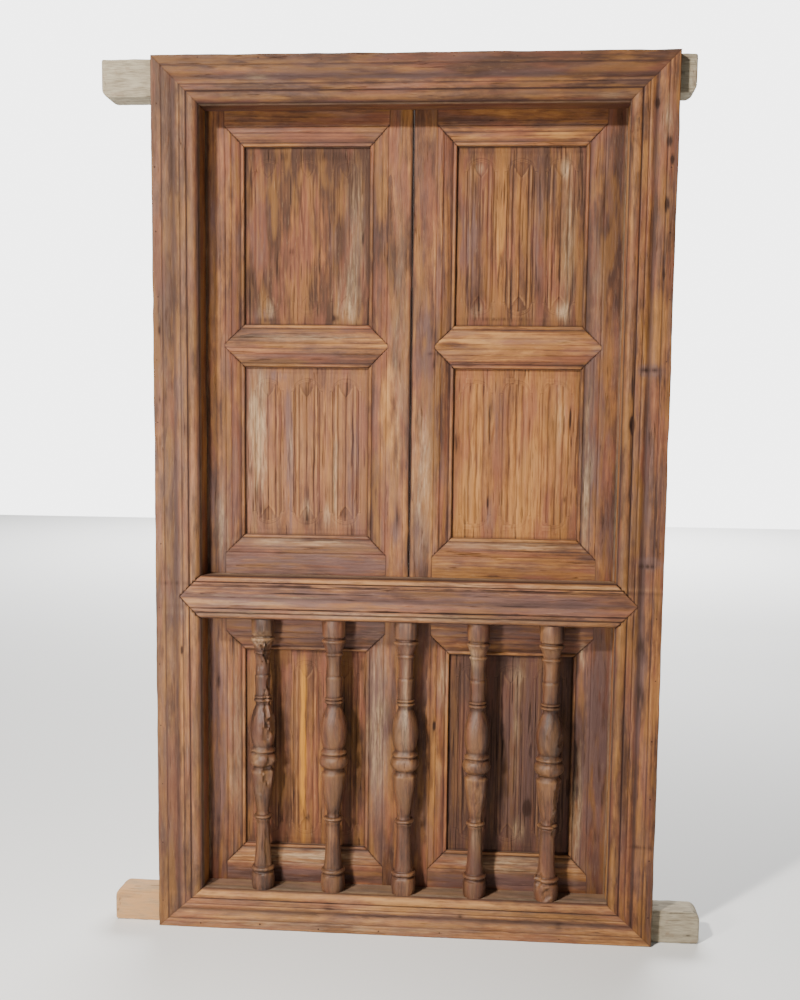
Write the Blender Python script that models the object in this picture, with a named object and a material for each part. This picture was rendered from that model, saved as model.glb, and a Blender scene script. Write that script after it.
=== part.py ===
# Wooden balcony window: a moulded frame with horns, a transom, five turned balusters and
# two inward-opening shutter leaves with linenfold panels. Metres, +Z up, the front faces -Y.
# The origin lies under the sill, at the middle of its length and of its timber's depth.
from math import cos, pi, sin, sqrt

import bmesh
import bpy
from mathutils import Vector

# Frame
FRAME_WIDTH = 1.22
FRAME_HEIGHT = 2.10
TIMBER_DEPTH = 0.095
HEAD_HEIGHT = 0.108
SILL_HEIGHT = 0.0985
JAMB_WIDTH = 0.1093
BOARD_THICKNESS = 0.029
BOARD_EDGE_DEPTH = 0.013
FIT_GAP = 0.0003

# Horns: the ends of the head and the sill that went into the wall
HORN_DEPTH = 0.072
HEAD_HORN_HEIGHT = 0.088
SILL_HORN_HEIGHT = 0.082
HEAD_HORN_LEFT = 0.125
HEAD_HORN_RIGHT = 0.039
SILL_HORN_LEFT = 0.120
SILL_HORN_RIGHT = 0.118
HORN_CHAMFER = 0.018
HORN_EDGE_CHAMFER = 0.006

# Transom
TRANSOM_MIDDLE = 0.833
TRANSOM_HEIGHT = 0.104
TRANSOM_LEAF_CLEARANCE = 0.005

# Rebate that the leaves shut into
REBATE_DEPTH = 0.046
REBATE_WIDTH = 0.015
LEAF_FACE_CLEARANCE = 0.001
LEAF_SIDE_CLEARANCE = 0.0015
LEAF_END_CLEARANCE = 0.002
MEETING_GAP = 0.004

# Leaves
LEAF_THICKNESS = 0.040
HANGING_STILE_WIDTH = 0.107
MEETING_STILE_WIDTH = 0.102
LEAF_MOULDING_WIDTH = 0.0465
LEAF_MOULDING_DEPTH = 0.0125
SHOULDER_DEPTH = 0.014
TOP_RAIL_FLAT = 0.0475
MIDDLE_RAIL_FLAT = 0.009
LOCK_RAIL_FLAT = 0.196
BOTTOM_RAIL_FLAT = 0.0605
UPPER_PANEL_HEIGHT = 0.418
MIDDLE_PANEL_HEIGHT = 0.409
PIN_RADIUS = 0.009
PIN_LENGTH = 0.025
PIN_CLEARANCE = 0.001
HEEL_STEPS = 8

# Panels
PANEL_THICKNESS = 0.010
PANEL_TONGUE = 0.008
GROOVE_FRONT = 0.016
GROOVE_CLEARANCE = 0.0003
PANEL_MARGIN = 0.022
FOLD_COUNT = 3
FOLD_STRIP_WIDTH = 0.028
FOLD_FLARE_LENGTH = 0.045
FOLD_FLARE_SHARE = 0.34
FOLD_END_STEP = 0.005
CARVING_GROUND = 0.0010

# Balusters
BALUSTER_COUNT = 5
BALUSTER_END_DISTANCE = 0.1477
BALUSTER_SETBACK = 0.036
BALUSTER_DRUM_RADIUS = 0.0275
BALUSTER_FOOT_DRUM = 0.049
BALUSTER_HEAD_DRUM = 0.0437
BALUSTER_QUIRK_SHARE = 0.06
ROUND_SIDES = 12

# Frame moulding, outer edge to sight edge: share of the board's width, share of the relief.
BOARD_SECTION = (
    (0.00, 0.00), (0.22, 0.00), (0.235, 0.32), (0.26, 0.06), (0.34, 0.30), (0.44, 0.52),
    (0.60, 0.20), (0.615, 0.48), (0.64, 0.20), (0.74, 0.22), (0.77, 0.55), (0.81, 0.20),
    (0.88, 0.12), (0.95, 0.34), (1.00, 1.00),
)
# Half of the transom's section is that one from its hollow on, so it starts at this member.
TRANSOM_FIRST_MEMBER = 5
# Leaf moulding, from the flat to the sight edge: share of its width, share of its relief.
LEAF_SECTION = (
    (0.00, 0.00), (0.05, 0.24), (0.10, 0.02), (0.30, 0.05), (0.35, 0.26), (0.55, 0.42),
    (0.79, 0.72), (0.82, 0.92), (0.86, 0.66), (0.94, 0.62), (1.00, 1.00),
)
# A fold group's section: place across its half width, height above the panel's ground.
LINENFOLD = (
    (-1.0, 0.0), (-0.90, -0.0022), (-0.74, 0.0012), (-0.50, -0.0014), (0.0, 0.0028),
    (0.50, -0.0014), (0.74, 0.0012), (0.90, -0.0022), (1.0, 0.0),
)
REEDED = (
    (-1.0, 0.0), (-0.80, 0.0016), (-0.58, -0.0018), (-0.32, 0.0018), (0.0, -0.0018),
    (0.32, 0.0018), (0.58, -0.0018), (0.80, 0.0016), (1.0, 0.0),
)
WORN_FOLD = (
    (-1.0, 0.0), (-0.80, -0.0008), (-0.45, 0.0006), (0.0, -0.0008), (0.45, 0.0006),
    (0.80, -0.0008), (1.0, 0.0),
)
# A baluster's members between its end drums, from the foot up: length as parts of their sum,
# then the radius at the member's foot, middle and head, then the steps that its curve takes.
BALUSTER_MEMBERS = (
    (20, 0.0225, 0.0280, 0.0225, 2),
    (106, 0.0190, 0.0160, 0.0165, 2),
    (18, 0.0165, 0.0215, 0.0150, 2),
    (112, 0.0140, 0.0215, 0.0265, 3),
    (10, 0.0215, 0.0205, 0.0215, 1),
    (33, 0.0280, 0.0335, 0.0280, 2),
    (8, 0.0210, 0.0200, 0.0210, 1),
    (118, 0.0265, 0.0290, 0.0160, 3),
    (18, 0.0165, 0.0205, 0.0165, 2),
    (52, 0.0160, 0.0170, 0.0180, 1),
    (60, 0.0200, 0.0205, 0.0210, 1),
    (34, 0.0215, 0.0270, 0.0240, 2),
)

TIMBER_FRONT = -TIMBER_DEPTH / 2
TIMBER_BACK = TIMBER_DEPTH / 2
FACE = TIMBER_FRONT - BOARD_THICKNESS
HALF_WIDTH = FRAME_WIDTH / 2
HALF_OPENING = HALF_WIDTH - JAMB_WIDTH
OPENING_TOP = FRAME_HEIGHT - HEAD_HEIGHT
STOP = TIMBER_BACK - REBATE_DEPTH
LEAF_FRONT = STOP + LEAF_FACE_CLEARANCE
LEAF_BACK = LEAF_FRONT + LEAF_THICKNESS
HALF_REBATE = HALF_OPENING + REBATE_WIDTH
REBATE_TOP = OPENING_TOP + REBATE_WIDTH
REBATE_BOTTOM = SILL_HEIGHT - REBATE_WIDTH
LEAF_TOP = REBATE_TOP - LEAF_END_CLEARANCE
LEAF_BOTTOM = REBATE_BOTTOM + LEAF_END_CLEARANCE
LEAF_OUTER = HALF_REBATE - LEAF_SIDE_CLEARANCE
LEAF_INNER = MEETING_GAP / 2
HEEL_RADIUS = LEAF_THICKNESS / 2
AXIS_X = LEAF_OUTER - HEEL_RADIUS
AXIS_Y = LEAF_FRONT + HEEL_RADIUS
SIGHT_OUTER = LEAF_OUTER - HANGING_STILE_WIDTH
SIGHT_INNER = LEAF_INNER + MEETING_STILE_WIDTH
GROOVE_BACK = GROOVE_FRONT + PANEL_THICKNESS + 2 * GROOVE_CLEARANCE
GROOVE_REACH = PANEL_TONGUE + GROOVE_CLEARANCE
OVERCUT = 0.02

# Heights of the panels' sight edges, from the top of the leaf down.
UPPER_TOP = LEAF_TOP - TOP_RAIL_FLAT - LEAF_MOULDING_WIDTH
UPPER_BOTTOM = UPPER_TOP - UPPER_PANEL_HEIGHT
MIDDLE_TOP = UPPER_BOTTOM - 2 * LEAF_MOULDING_WIDTH - MIDDLE_RAIL_FLAT
MIDDLE_BOTTOM = MIDDLE_TOP - MIDDLE_PANEL_HEIGHT
LOWER_TOP = MIDDLE_BOTTOM - 2 * LEAF_MOULDING_WIDTH - LOCK_RAIL_FLAT
LOWER_BOTTOM = LEAF_BOTTOM + BOTTOM_RAIL_FLAT + LEAF_MOULDING_WIDTH


def clear_scene():
    for thing in list(bpy.data.objects):
        bpy.data.objects.remove(thing, do_unlink=True)


def wood(name, colour, roughness):
    material = bpy.data.materials.new(name)
    material.use_nodes = True
    shader = material.node_tree.nodes["Principled BSDF"]
    shader.inputs["Base Color"].default_value = (*colour, 1.0)
    shader.inputs["Roughness"].default_value = roughness
    shader.inputs["Metallic"].default_value = 0.0
    return material


def link(name, builder, material, origin=(0.0, 0.0, 0.0)):
    # The mesh is built in world places, then moved so that the object's origin is at origin.
    bmesh.ops.recalc_face_normals(builder, faces=builder.faces)
    bmesh.ops.translate(builder, verts=builder.verts, vec=-Vector(origin))
    mesh = bpy.data.meshes.new(name)
    builder.to_mesh(mesh)
    builder.free()
    mesh.materials.append(material)
    thing = bpy.data.objects.new(name, mesh)
    thing.location = origin
    bpy.context.collection.objects.link(thing)
    return thing


def add_strip(builder, first, last):
    # A bar between two outlines that have the same number of points.
    near = [builder.verts.new(point) for point in first]
    far = [builder.verts.new(point) for point in last]
    count = len(near)
    for index in range(count):
        after = (index + 1) % count
        builder.faces.new((near[index], near[after], far[after], far[index]))
    builder.faces.new(near)
    builder.faces.new(list(reversed(far)))


def strip(name, first, last, material, origin=(0.0, 0.0, 0.0)):
    builder = bmesh.new()
    add_strip(builder, first, last)
    return link(name, builder, material, origin)


def plate(name, outline, front, back, material):
    # An outline of x and z places, from front to back along Y.
    first = [(x, front, z) for x, z in outline]
    last = [(x, back, z) for x, z in outline]
    return strip(name, first, last, material)


def box_outline(left, right, low, high):
    return ((left, low), (right, low), (right, high), (left, high))


def cut(target, cutter, operation="DIFFERENCE"):
    cutter.hide_render = True
    cutter.display_type = "WIRE"
    modifier = target.modifiers.new(cutter.name, "BOOLEAN")
    modifier.operation = operation
    modifier.solver = "EXACT"
    modifier.object = cutter


def turned(name, profile, sides, centre, material, origin=(0.0, 0.0, 0.0)):
    # Radii and heights turned about a vertical line through centre.
    builder = bmesh.new()
    rings = []
    for radius, height in profile:
        ring = []
        for side in range(sides):
            angle = 2 * pi * side / sides
            place = (centre[0] + radius * cos(angle), centre[1] + radius * sin(angle), height)
            ring.append(builder.verts.new(place))
        rings.append(ring)
    for lower, upper in zip(rings, rings[1:]):
        for side in range(sides):
            after = (side + 1) % sides
            builder.faces.new((lower[side], lower[after], upper[after], upper[side]))
    builder.faces.new(list(reversed(rings[0])))
    builder.faces.new(rings[-1])
    for face in builder.faces:
        face.smooth = len(face.verts) == 4
    return link(name, builder, material, origin)


def horned_timber(name, low, high, horn_edge, horn_low, horn_high, left, right, material):
    # horn_edge is the outer edge, flush with the frame: the other side of a horn is cut back.
    side = 1.0 if horn_edge == horn_high else -1.0
    inner = horn_low if side > 0 else horn_high
    body_inner = low if side > 0 else high
    end_left = -HALF_WIDTH - left
    end_right = HALF_WIDTH + right
    outline = [
        (end_left + HORN_EDGE_CHAMFER, horn_edge),
        (end_left, horn_edge - side * HORN_EDGE_CHAMFER),
        (end_left, inner + side * HORN_CHAMFER),
        (end_left + HORN_CHAMFER, inner),
        (-HALF_WIDTH, inner),
        (-HALF_WIDTH, body_inner),
        (HALF_WIDTH, body_inner),
        (HALF_WIDTH, inner),
        (end_right - HORN_CHAMFER, inner),
        (end_right, inner + side * HORN_CHAMFER),
        (end_right, horn_edge - side * HORN_EDGE_CHAMFER),
        (end_right - HORN_EDGE_CHAMFER, horn_edge),
    ]
    timber = plate(name, outline, TIMBER_FRONT, TIMBER_BACK, material)
    horn_back = TIMBER_FRONT + HORN_DEPTH
    for label, start, end in (("left", end_left, -HALF_WIDTH), ("right", HALF_WIDTH, end_right)):
        reach = (start - OVERCUT, end) if label == "left" else (start, end + OVERCUT)
        edges = box_outline(*reach, low - OVERCUT, high + OVERCUT)
        back = plate(f"{name}_{label}_back", edges, horn_back, TIMBER_BACK + OVERCUT, material)
        cut(timber, back)
    return timber


def cut_sockets(timber, low, high, material):
    radius = PIN_RADIUS + PIN_CLEARANCE
    profile = ((radius, low), (radius, high))
    for side, label in ((-1, "left"), (1, "right")):
        centre = (side * AXIS_X, AXIS_Y)
        socket = turned(f"{timber.name}_socket_{label}", profile, ROUND_SIDES, centre, material)
        cut(timber, socket)


def make_timbers(pine, raw):
    head = horned_timber(
        "head", OPENING_TOP, FRAME_HEIGHT, FRAME_HEIGHT, FRAME_HEIGHT - HEAD_HORN_HEIGHT,
        FRAME_HEIGHT, HEAD_HORN_LEFT, HEAD_HORN_RIGHT, raw)
    sill = horned_timber(
        "sill", 0.0, SILL_HEIGHT, 0.0, 0.0, SILL_HORN_HEIGHT,
        SILL_HORN_LEFT, SILL_HORN_RIGHT, raw)
    rebates = (
        (head, OPENING_TOP - OVERCUT, REBATE_TOP),
        (sill, REBATE_BOTTOM, SILL_HEIGHT + OVERCUT),
    )
    for timber, low, high in rebates:
        edges = box_outline(-HALF_REBATE, HALF_REBATE, low, high)
        rebate = plate(f"{timber.name}_rebate", edges, STOP, TIMBER_BACK + OVERCUT, raw)
        cut(timber, rebate)
    socket_depth = PIN_LENGTH + LEAF_END_CLEARANCE
    cut_sockets(head, OPENING_TOP, REBATE_TOP + socket_depth, raw)
    cut_sockets(sill, REBATE_BOTTOM - socket_depth, SILL_HEIGHT, raw)
    for side, label in ((-1, "left"), (1, "right")):
        section = (
            (side * HALF_OPENING, TIMBER_FRONT), (side * HALF_WIDTH, TIMBER_FRONT),
            (side * HALF_WIDTH, TIMBER_BACK), (side * HALF_REBATE, TIMBER_BACK),
            (side * HALF_REBATE, STOP), (side * HALF_OPENING, STOP),
        )
        first = [(x, y, SILL_HEIGHT + FIT_GAP) for x, y in section]
        last = [(x, y, OPENING_TOP - FIT_GAP) for x, y in section]
        strip(f"jamb_{label}", first, last, pine)


def board_end(outer, inner):
    # A board's mitred end, from its outer corner to its inner one: the moulded front, then
    # the back. The corners are x and z places.
    back = TIMBER_FRONT - FIT_GAP
    front = [(across, FACE + share * BOARD_EDGE_DEPTH) for across, share in BOARD_SECTION]
    ring = []
    for across, y in front + [(1.0, back), (0.0, back)]:
        place = outer.lerp(inner, across)
        ring.append((place.x, y, place.y))
    return ring


def make_boards(pine):
    # Each board has an outer and an inner corner at both ends, where it is mitred.
    corners = {
        "top": ((-HALF_WIDTH, FRAME_HEIGHT), (-HALF_OPENING, OPENING_TOP),
                (HALF_WIDTH, FRAME_HEIGHT), (HALF_OPENING, OPENING_TOP)),
        "bottom": ((HALF_WIDTH, 0.0), (HALF_OPENING, SILL_HEIGHT),
                   (-HALF_WIDTH, 0.0), (-HALF_OPENING, SILL_HEIGHT)),
        "left": ((-HALF_WIDTH, 0.0), (-HALF_OPENING, SILL_HEIGHT),
                 (-HALF_WIDTH, FRAME_HEIGHT), (-HALF_OPENING, OPENING_TOP)),
        "right": ((HALF_WIDTH, FRAME_HEIGHT), (HALF_OPENING, OPENING_TOP),
                  (HALF_WIDTH, 0.0), (HALF_OPENING, SILL_HEIGHT)),
    }
    boards = {}
    for label, places in corners.items():
        outer_a, inner_a, outer_b, inner_b = [Vector(place) for place in places]
        run = (outer_b - outer_a).normalized() * FIT_GAP
        first = board_end(outer_a + run, inner_a + run)
        last = board_end(outer_b - run, inner_b - run)
        boards[label] = strip(f"board_{label}", first, last, pine)
    return boards


def make_transom(pine, boards):
    low = TRANSOM_MIDDLE - TRANSOM_HEIGHT / 2
    high = TRANSOM_MIDDLE + TRANSOM_HEIGHT / 2
    half = TRANSOM_HEIGHT / 2
    back = STOP - TRANSOM_LEAF_CLEARANCE
    members = BOARD_SECTION[TRANSOM_FIRST_MEMBER:]
    start = members[0][0]
    upper = [(FACE + share * BOARD_EDGE_DEPTH,
              TRANSOM_MIDDLE + (across - start) / (1.0 - start) * half)
             for across, share in members]
    lower = [(y, 2 * TRANSOM_MIDDLE - z) for y, z in reversed(upper[1:])]
    section = lower + upper + [(back, high), (back, low)]
    reach = HALF_OPENING + half + OVERCUT
    first = [(-reach, y, z) for y, z in section]
    last = [(reach, y, z) for y, z in section]
    transom = strip("transom", first, last, pine)
    # The pointed ends go into the side boards; behind them the transom stops at the jambs.
    tip = HALF_OPENING + half
    for side, label in ((-1, "left"), (1, "right")):
        sight = side * (HALF_OPENING - OVERCUT)
        far = side * (tip + 2 * OVERCUT)
        for sign, part in ((-1, "low"), (1, "high")):
            wedge = (
                (side * (tip - FIT_GAP), TRANSOM_MIDDLE),
                (sight, TRANSOM_MIDDLE + sign * (half + OVERCUT - FIT_GAP)),
                (far, TRANSOM_MIDDLE + sign * (half + OVERCUT)),
                (far, TRANSOM_MIDDLE),
            )
            waste = plate(f"transom_{label}_{part}", wedge, FACE - OVERCUT, STOP, pine)
            cut(transom, waste)
        behind = box_outline(*sorted((side * (HALF_OPENING - FIT_GAP), far)),
                             low - OVERCUT, high + OVERCUT)
        rest = plate(f"transom_{label}_rest", behind, TIMBER_FRONT - FIT_GAP, STOP, pine)
        cut(transom, rest)
        notch = (
            (side * tip, TRANSOM_MIDDLE),
            (sight, TRANSOM_MIDDLE + half + OVERCUT),
            (sight, TRANSOM_MIDDLE - half - OVERCUT),
        )
        notcher = plate(f"board_{label}_notch", notch, FACE - OVERCUT, TIMBER_FRONT + OVERCUT, pine)
        cut(boards[label], notcher)


def baluster_profile(length):
    # Each member's radius is a parabola through its foot, middle and head radii. A short
    # slope, BALUSTER_QUIRK_SHARE of the member at each end, leads to the next one.
    between = length - BALUSTER_FOOT_DRUM - BALUSTER_HEAD_DRUM
    part = between / sum(member[0] for member in BALUSTER_MEMBERS)
    profile = [(BALUSTER_DRUM_RADIUS, 0.0), (BALUSTER_DRUM_RADIUS, BALUSTER_FOOT_DRUM)]
    height = BALUSTER_FOOT_DRUM
    for parts, foot, middle, head, steps in BALUSTER_MEMBERS:
        size = parts * part
        bulge = middle - (foot + head) / 2
        lead = size * BALUSTER_QUIRK_SHARE
        for step in range(steps + 1):
            share = step / steps
            radius = foot + (head - foot) * share + 4 * bulge * share * (1 - share)
            profile.append((radius, height + lead + (size - 2 * lead) * share))
        height += size
    profile.append((BALUSTER_DRUM_RADIUS, height))
    profile.append((BALUSTER_DRUM_RADIUS, length))
    return profile


def make_balusters(grey):
    foot = SILL_HEIGHT + FIT_GAP
    head = TRANSOM_MIDDLE - TRANSOM_HEIGHT / 2 - FIT_GAP
    profile = [(radius, foot + height) for radius, height in baluster_profile(head - foot)]
    first = -HALF_OPENING + BALUSTER_END_DISTANCE
    pitch = -2 * first / (BALUSTER_COUNT - 1)
    for index in range(BALUSTER_COUNT):
        centre = (first + index * pitch, FACE + BALUSTER_SETBACK)
        turned(f"baluster_{index + 1}", profile, ROUND_SIDES, centre, grey)


def leaf_moulding():
    return [(across * LEAF_MOULDING_WIDTH, share * LEAF_MOULDING_DEPTH)
            for across, share in LEAF_SECTION]


def stile_section(width, heel):
    # A stile's plan: x grows from its outer edge to its sight edge, y from front to back.
    # The outer edge is square, or a half round about the hinge's axis.
    if heel:
        turns = [pi * step / HEEL_STEPS for step in range(HEEL_STEPS + 1)]
        plan = [(HEEL_RADIUS * (1 - sin(turn)), HEEL_RADIUS * (1 + cos(turn))) for turn in turns]
    else:
        plan = [(0.0, LEAF_THICKNESS), (0.0, 0.0)]
    plan += [(width - LEAF_MOULDING_WIDTH + x, y) for x, y in leaf_moulding()]
    plan += [
        (width, GROOVE_FRONT), (width - GROOVE_REACH, GROOVE_FRONT),
        (width - GROOVE_REACH, GROOVE_BACK), (width, GROOVE_BACK), (width, LEAF_THICKNESS),
    ]
    return plan


def rail_edges(top, bottom, has_upper, has_lower):
    # Heights of a rail's flat, between its mouldings.
    flat_top = top - LEAF_MOULDING_WIDTH if has_upper else top
    flat_bottom = bottom + LEAF_MOULDING_WIDTH if has_lower else bottom
    return flat_top, flat_bottom


def rail_section(top, bottom, has_upper, has_lower):
    flat_top, flat_bottom = rail_edges(top, bottom, has_upper, has_lower)
    moulding = leaf_moulding()
    section = []
    if has_lower:
        section += [
            (LEAF_THICKNESS, bottom), (GROOVE_BACK, bottom), (GROOVE_BACK, bottom + GROOVE_REACH),
            (GROOVE_FRONT, bottom + GROOVE_REACH), (GROOVE_FRONT, bottom),
        ]
        section += [(y, flat_bottom - across) for across, y in reversed(moulding)]
    else:
        section += [(LEAF_THICKNESS, bottom), (0.0, bottom)]
    if has_upper:
        section += [(y, flat_top + across) for across, y in moulding]
        section += [
            (GROOVE_FRONT, top), (GROOVE_FRONT, top - GROOVE_REACH),
            (GROOVE_BACK, top - GROOVE_REACH), (GROOVE_BACK, top), (LEAF_THICKNESS, top),
        ]
    else:
        section += [(0.0, top), (LEAF_THICKNESS, top)]
    return section


def mitre_outline(top, bottom, has_upper, has_lower, shoulder, sight, gap):
    # One end of a rail seen from the front: a shoulder on the flat, mitres on the mouldings.
    # shoulder and sight are x places; the outline runs past the sight edge by OVERCUT.
    flat_top, flat_bottom = rail_edges(top, bottom, has_upper, has_lower)
    run = 1.0 if sight > shoulder else -1.0
    edge = shoulder - run * gap
    slant = gap * sqrt(2)
    past = sight + run * OVERCUT
    rise = abs(past - edge)
    if has_upper:
        upper = [(edge, flat_top + slant - gap), (past, flat_top + slant - gap + rise)]
    else:
        upper = [(edge, flat_top + OVERCUT), (past, flat_top + OVERCUT)]
    if has_lower:
        lower = [(past, flat_bottom - slant + gap - rise), (edge, flat_bottom - slant + gap)]
    else:
        lower = [(past, flat_bottom - OVERCUT), (edge, flat_bottom - OVERCUT)]
    return upper + lower


def fold_columns(low, high, pattern):
    # Places across a panel: groups of folds between plain strips, as (group, place, height).
    span = (high - low - 2 * PANEL_MARGIN - (FOLD_COUNT - 1) * FOLD_STRIP_WIDTH) / FOLD_COUNT
    groups = []
    for group in range(FOLD_COUNT):
        middle = low + PANEL_MARGIN + span / 2 + group * (span + FOLD_STRIP_WIDTH)
        groups.append((middle, span / 2))
    return [(middle, half, across, height) for middle, half in groups for across, height in pattern]


def make_panel(name, low, high, bottom, top, pattern, material, origin):
    # The front is a grid: its columns follow the folds, which narrow in a curve towards
    # their ends, so that the plain strips between them flare out.
    ground = LEAF_FRONT + GROOVE_FRONT + GROOVE_CLEARANCE
    field = ground + CARVING_GROUND
    back = ground + PANEL_THICKNESS
    columns = fold_columns(low, high, pattern)
    end = bottom + PANEL_MARGIN
    flare = FOLD_FLARE_LENGTH
    lower_rows = [(end, 1.0, 0.0), (end + FOLD_END_STEP, 1.0, 1.0),
                  (end + flare / 2, 0.25, 1.0), (end + flare, 0.0, 1.0)]
    upper_rows = [(top + bottom - z, pinch, rise) for z, pinch, rise in reversed(lower_rows)]
    edge_low = low - PANEL_TONGUE
    edge_high = high + PANEL_TONGUE
    builder = bmesh.new()
    grid = []
    for z, pinch, rise in lower_rows + upper_rows:
        row = [builder.verts.new((edge_low, ground, z)),
               builder.verts.new((low + FIT_GAP, ground, z))]
        for middle, half, across, height in columns:
            x = middle + across * half * (1 - FOLD_FLARE_SHARE * pinch)
            row.append(builder.verts.new((x, field - rise * height, z)))
        row += [builder.verts.new((high - FIT_GAP, ground, z)),
                builder.verts.new((edge_high, ground, z))]
        grid.append(row)
    for lower, upper in zip(grid, grid[1:]):
        for index in range(len(lower) - 1):
            builder.faces.new((lower[index], lower[index + 1], upper[index + 1], upper[index]))
    corners = {}
    for label, z in (("low", bottom - PANEL_TONGUE), ("high", top + PANEL_TONGUE)):
        corners[label] = [builder.verts.new((x, y, z)) for x, y in (
            (edge_low, ground), (edge_high, ground), (edge_high, back), (edge_low, back))]
    sights = {}
    for label, z in (("low", bottom + FIT_GAP), ("high", top - FIT_GAP)):
        sights[label] = [builder.verts.new((x, ground, z)) for x in (edge_low, edge_high)]
    for label, row in (("low", grid[0]), ("high", grid[-1])):
        left, right = sights[label]
        builder.faces.new((left, right, *reversed(row)))
        front_left, front_right, back_right, back_left = corners[label]
        builder.faces.new((front_left, front_right, right, left))
        builder.faces.new((front_left, back_left, back_right, front_right))
    left_edge = [corners["low"][0], sights["low"][0], *[row[0] for row in grid],
                 sights["high"][0], corners["high"][0], corners["high"][3], corners["low"][3]]
    right_edge = [corners["low"][1], sights["low"][1], *[row[-1] for row in grid],
                  sights["high"][1], corners["high"][1], corners["high"][2], corners["low"][2]]
    builder.faces.new(left_edge)
    builder.faces.new(right_edge)
    builder.faces.new((corners["low"][2], corners["low"][3], corners["high"][3], corners["high"][2]))
    return link(name, builder, material, origin)


def make_leaf(label, side, patterns, pine, carved):
    # side is -1 for the left leaf and 1 for the right one.
    origin = (side * AXIS_X, AXIS_Y, LEAF_BOTTOM)
    rails = {
        "top": (LEAF_TOP, UPPER_TOP, False, True),
        "middle": (UPPER_BOTTOM, MIDDLE_TOP, True, True),
        "lock": (MIDDLE_BOTTOM, LOWER_TOP, True, True),
        "bottom": (LOWER_BOTTOM, LEAF_BOTTOM, True, False),
    }
    shoulders = (
        ("hanging", SIGHT_OUTER + LEAF_MOULDING_WIDTH, SIGHT_OUTER),
        ("meeting", SIGHT_INNER - LEAF_MOULDING_WIDTH, SIGHT_INNER),
    )
    stiles = {}
    plans = (
        ("hanging", stile_section(HANGING_STILE_WIDTH, heel=True), LEAF_OUTER, -1),
        ("meeting", stile_section(MEETING_STILE_WIDTH, heel=False), LEAF_INNER, 1),
    )
    for kind, plan, start, run in plans:
        outline = [(side * (start + run * x), LEAF_FRONT + y) for x, y in plan]
        first = [(x, y, LEAF_BOTTOM) for x, y in outline]
        last = [(x, y, LEAF_TOP) for x, y in outline]
        stiles[kind] = strip(f"{label}_stile_{kind}", first, last, pine, origin)
    for kind, shoulder, sight in shoulders:
        for rail, (top, bottom, has_upper, has_lower) in rails.items():
            outline = mitre_outline(top, bottom, has_upper, has_lower, shoulder, sight, FIT_GAP)
            outline = [(side * x, z) for x, z in outline]
            waste = plate(f"{label}_{kind}_{rail}_cut", outline, LEAF_FRONT - OVERCUT,
                          LEAF_FRONT + SHOULDER_DEPTH, pine)
            cut(stiles[kind], waste)
    for rail, (top, bottom, has_upper, has_lower) in rails.items():
        section = rail_section(top, bottom, has_upper, has_lower)
        outer = side * (SIGHT_OUTER + LEAF_MOULDING_WIDTH)
        inner = side * (SIGHT_INNER - LEAF_MOULDING_WIDTH)
        first = [(outer, LEAF_FRONT + y, z) for y, z in section]
        last = [(inner, LEAF_FRONT + y, z) for y, z in section]
        bar = strip(f"{label}_rail_{rail}", first, last, pine, origin)
        for kind, shoulder, sight in shoulders:
            run = 1.0 if sight > shoulder else -1.0
            flat_top, flat_bottom = rail_edges(top, bottom, has_upper, has_lower)
            wedges = []
            if has_upper:
                wedges.append(("upper", flat_top, 1.0))
            if has_lower:
                wedges.append(("lower", flat_bottom, -1.0))
            for part, height, rise in wedges:
                reach = LEAF_MOULDING_WIDTH + OVERCUT
                outline = (
                    (side * shoulder, height),
                    (side * (shoulder + run * reach), height + rise * reach),
                    (side * (shoulder - run * OVERCUT), height + rise * reach),
                    (side * (shoulder - run * OVERCUT), height),
                )
                waste = plate(f"{label}_{rail}_{kind}_{part}", outline, LEAF_FRONT - OVERCUT,
                              LEAF_BACK + OVERCUT, pine)
                cut(bar, waste)
            ends = sorted((side * (sight + run * FIT_GAP), side * (shoulder - run * OVERCUT)))
            edges = box_outline(*ends, bottom - OVERCUT, top + OVERCUT)
            behind = plate(f"{label}_{rail}_{kind}_back", edges, LEAF_FRONT + SHOULDER_DEPTH - FIT_GAP,
                           LEAF_BACK + OVERCUT, pine)
            cut(bar, behind)
    for pin, low, high in (("lower", LEAF_BOTTOM - PIN_LENGTH, LEAF_BOTTOM + OVERCUT),
                           ("upper", LEAF_TOP - OVERCUT, LEAF_TOP + PIN_LENGTH)):
        profile = ((PIN_RADIUS, low), (PIN_RADIUS, high))
        peg = turned(f"{label}_pin_{pin}", profile, ROUND_SIDES, (side * AXIS_X, AXIS_Y), pine)
        cut(stiles["hanging"], peg, "UNION")
    spans = (
        ("upper", UPPER_BOTTOM, UPPER_TOP),
        ("middle", MIDDLE_BOTTOM, MIDDLE_TOP),
        ("lower", LOWER_BOTTOM, LOWER_TOP),
    )
    low, high = sorted((side * SIGHT_INNER, side * SIGHT_OUTER))
    for (place, bottom, top), pattern in zip(spans, patterns):
        make_panel(f"{label}_panel_{place}", low, high, bottom, top, pattern, carved, origin)


def main():
    clear_scene()
    pine = wood("old_pine", (0.30, 0.16, 0.08), 0.62)
    raw = wood("raw_grey_pine", (0.44, 0.39, 0.33), 0.85)
    carved = wood("carved_pine", (0.27, 0.14, 0.07), 0.66)
    grey = wood("turned_pine", (0.20, 0.13, 0.085), 0.64)
    make_timbers(pine, raw)
    boards = make_boards(pine)
    make_transom(pine, boards)
    make_balusters(grey)
    make_leaf("left", -1, (WORN_FOLD, LINENFOLD, LINENFOLD), pine, carved)
    make_leaf("right", 1, (LINENFOLD, REEDED, LINENFOLD), pine, carved)


main()
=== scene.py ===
from math import cos, pi, radians, sin

import bmesh
import bpy
import numpy as np
from mathutils import Matrix, Vector


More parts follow.
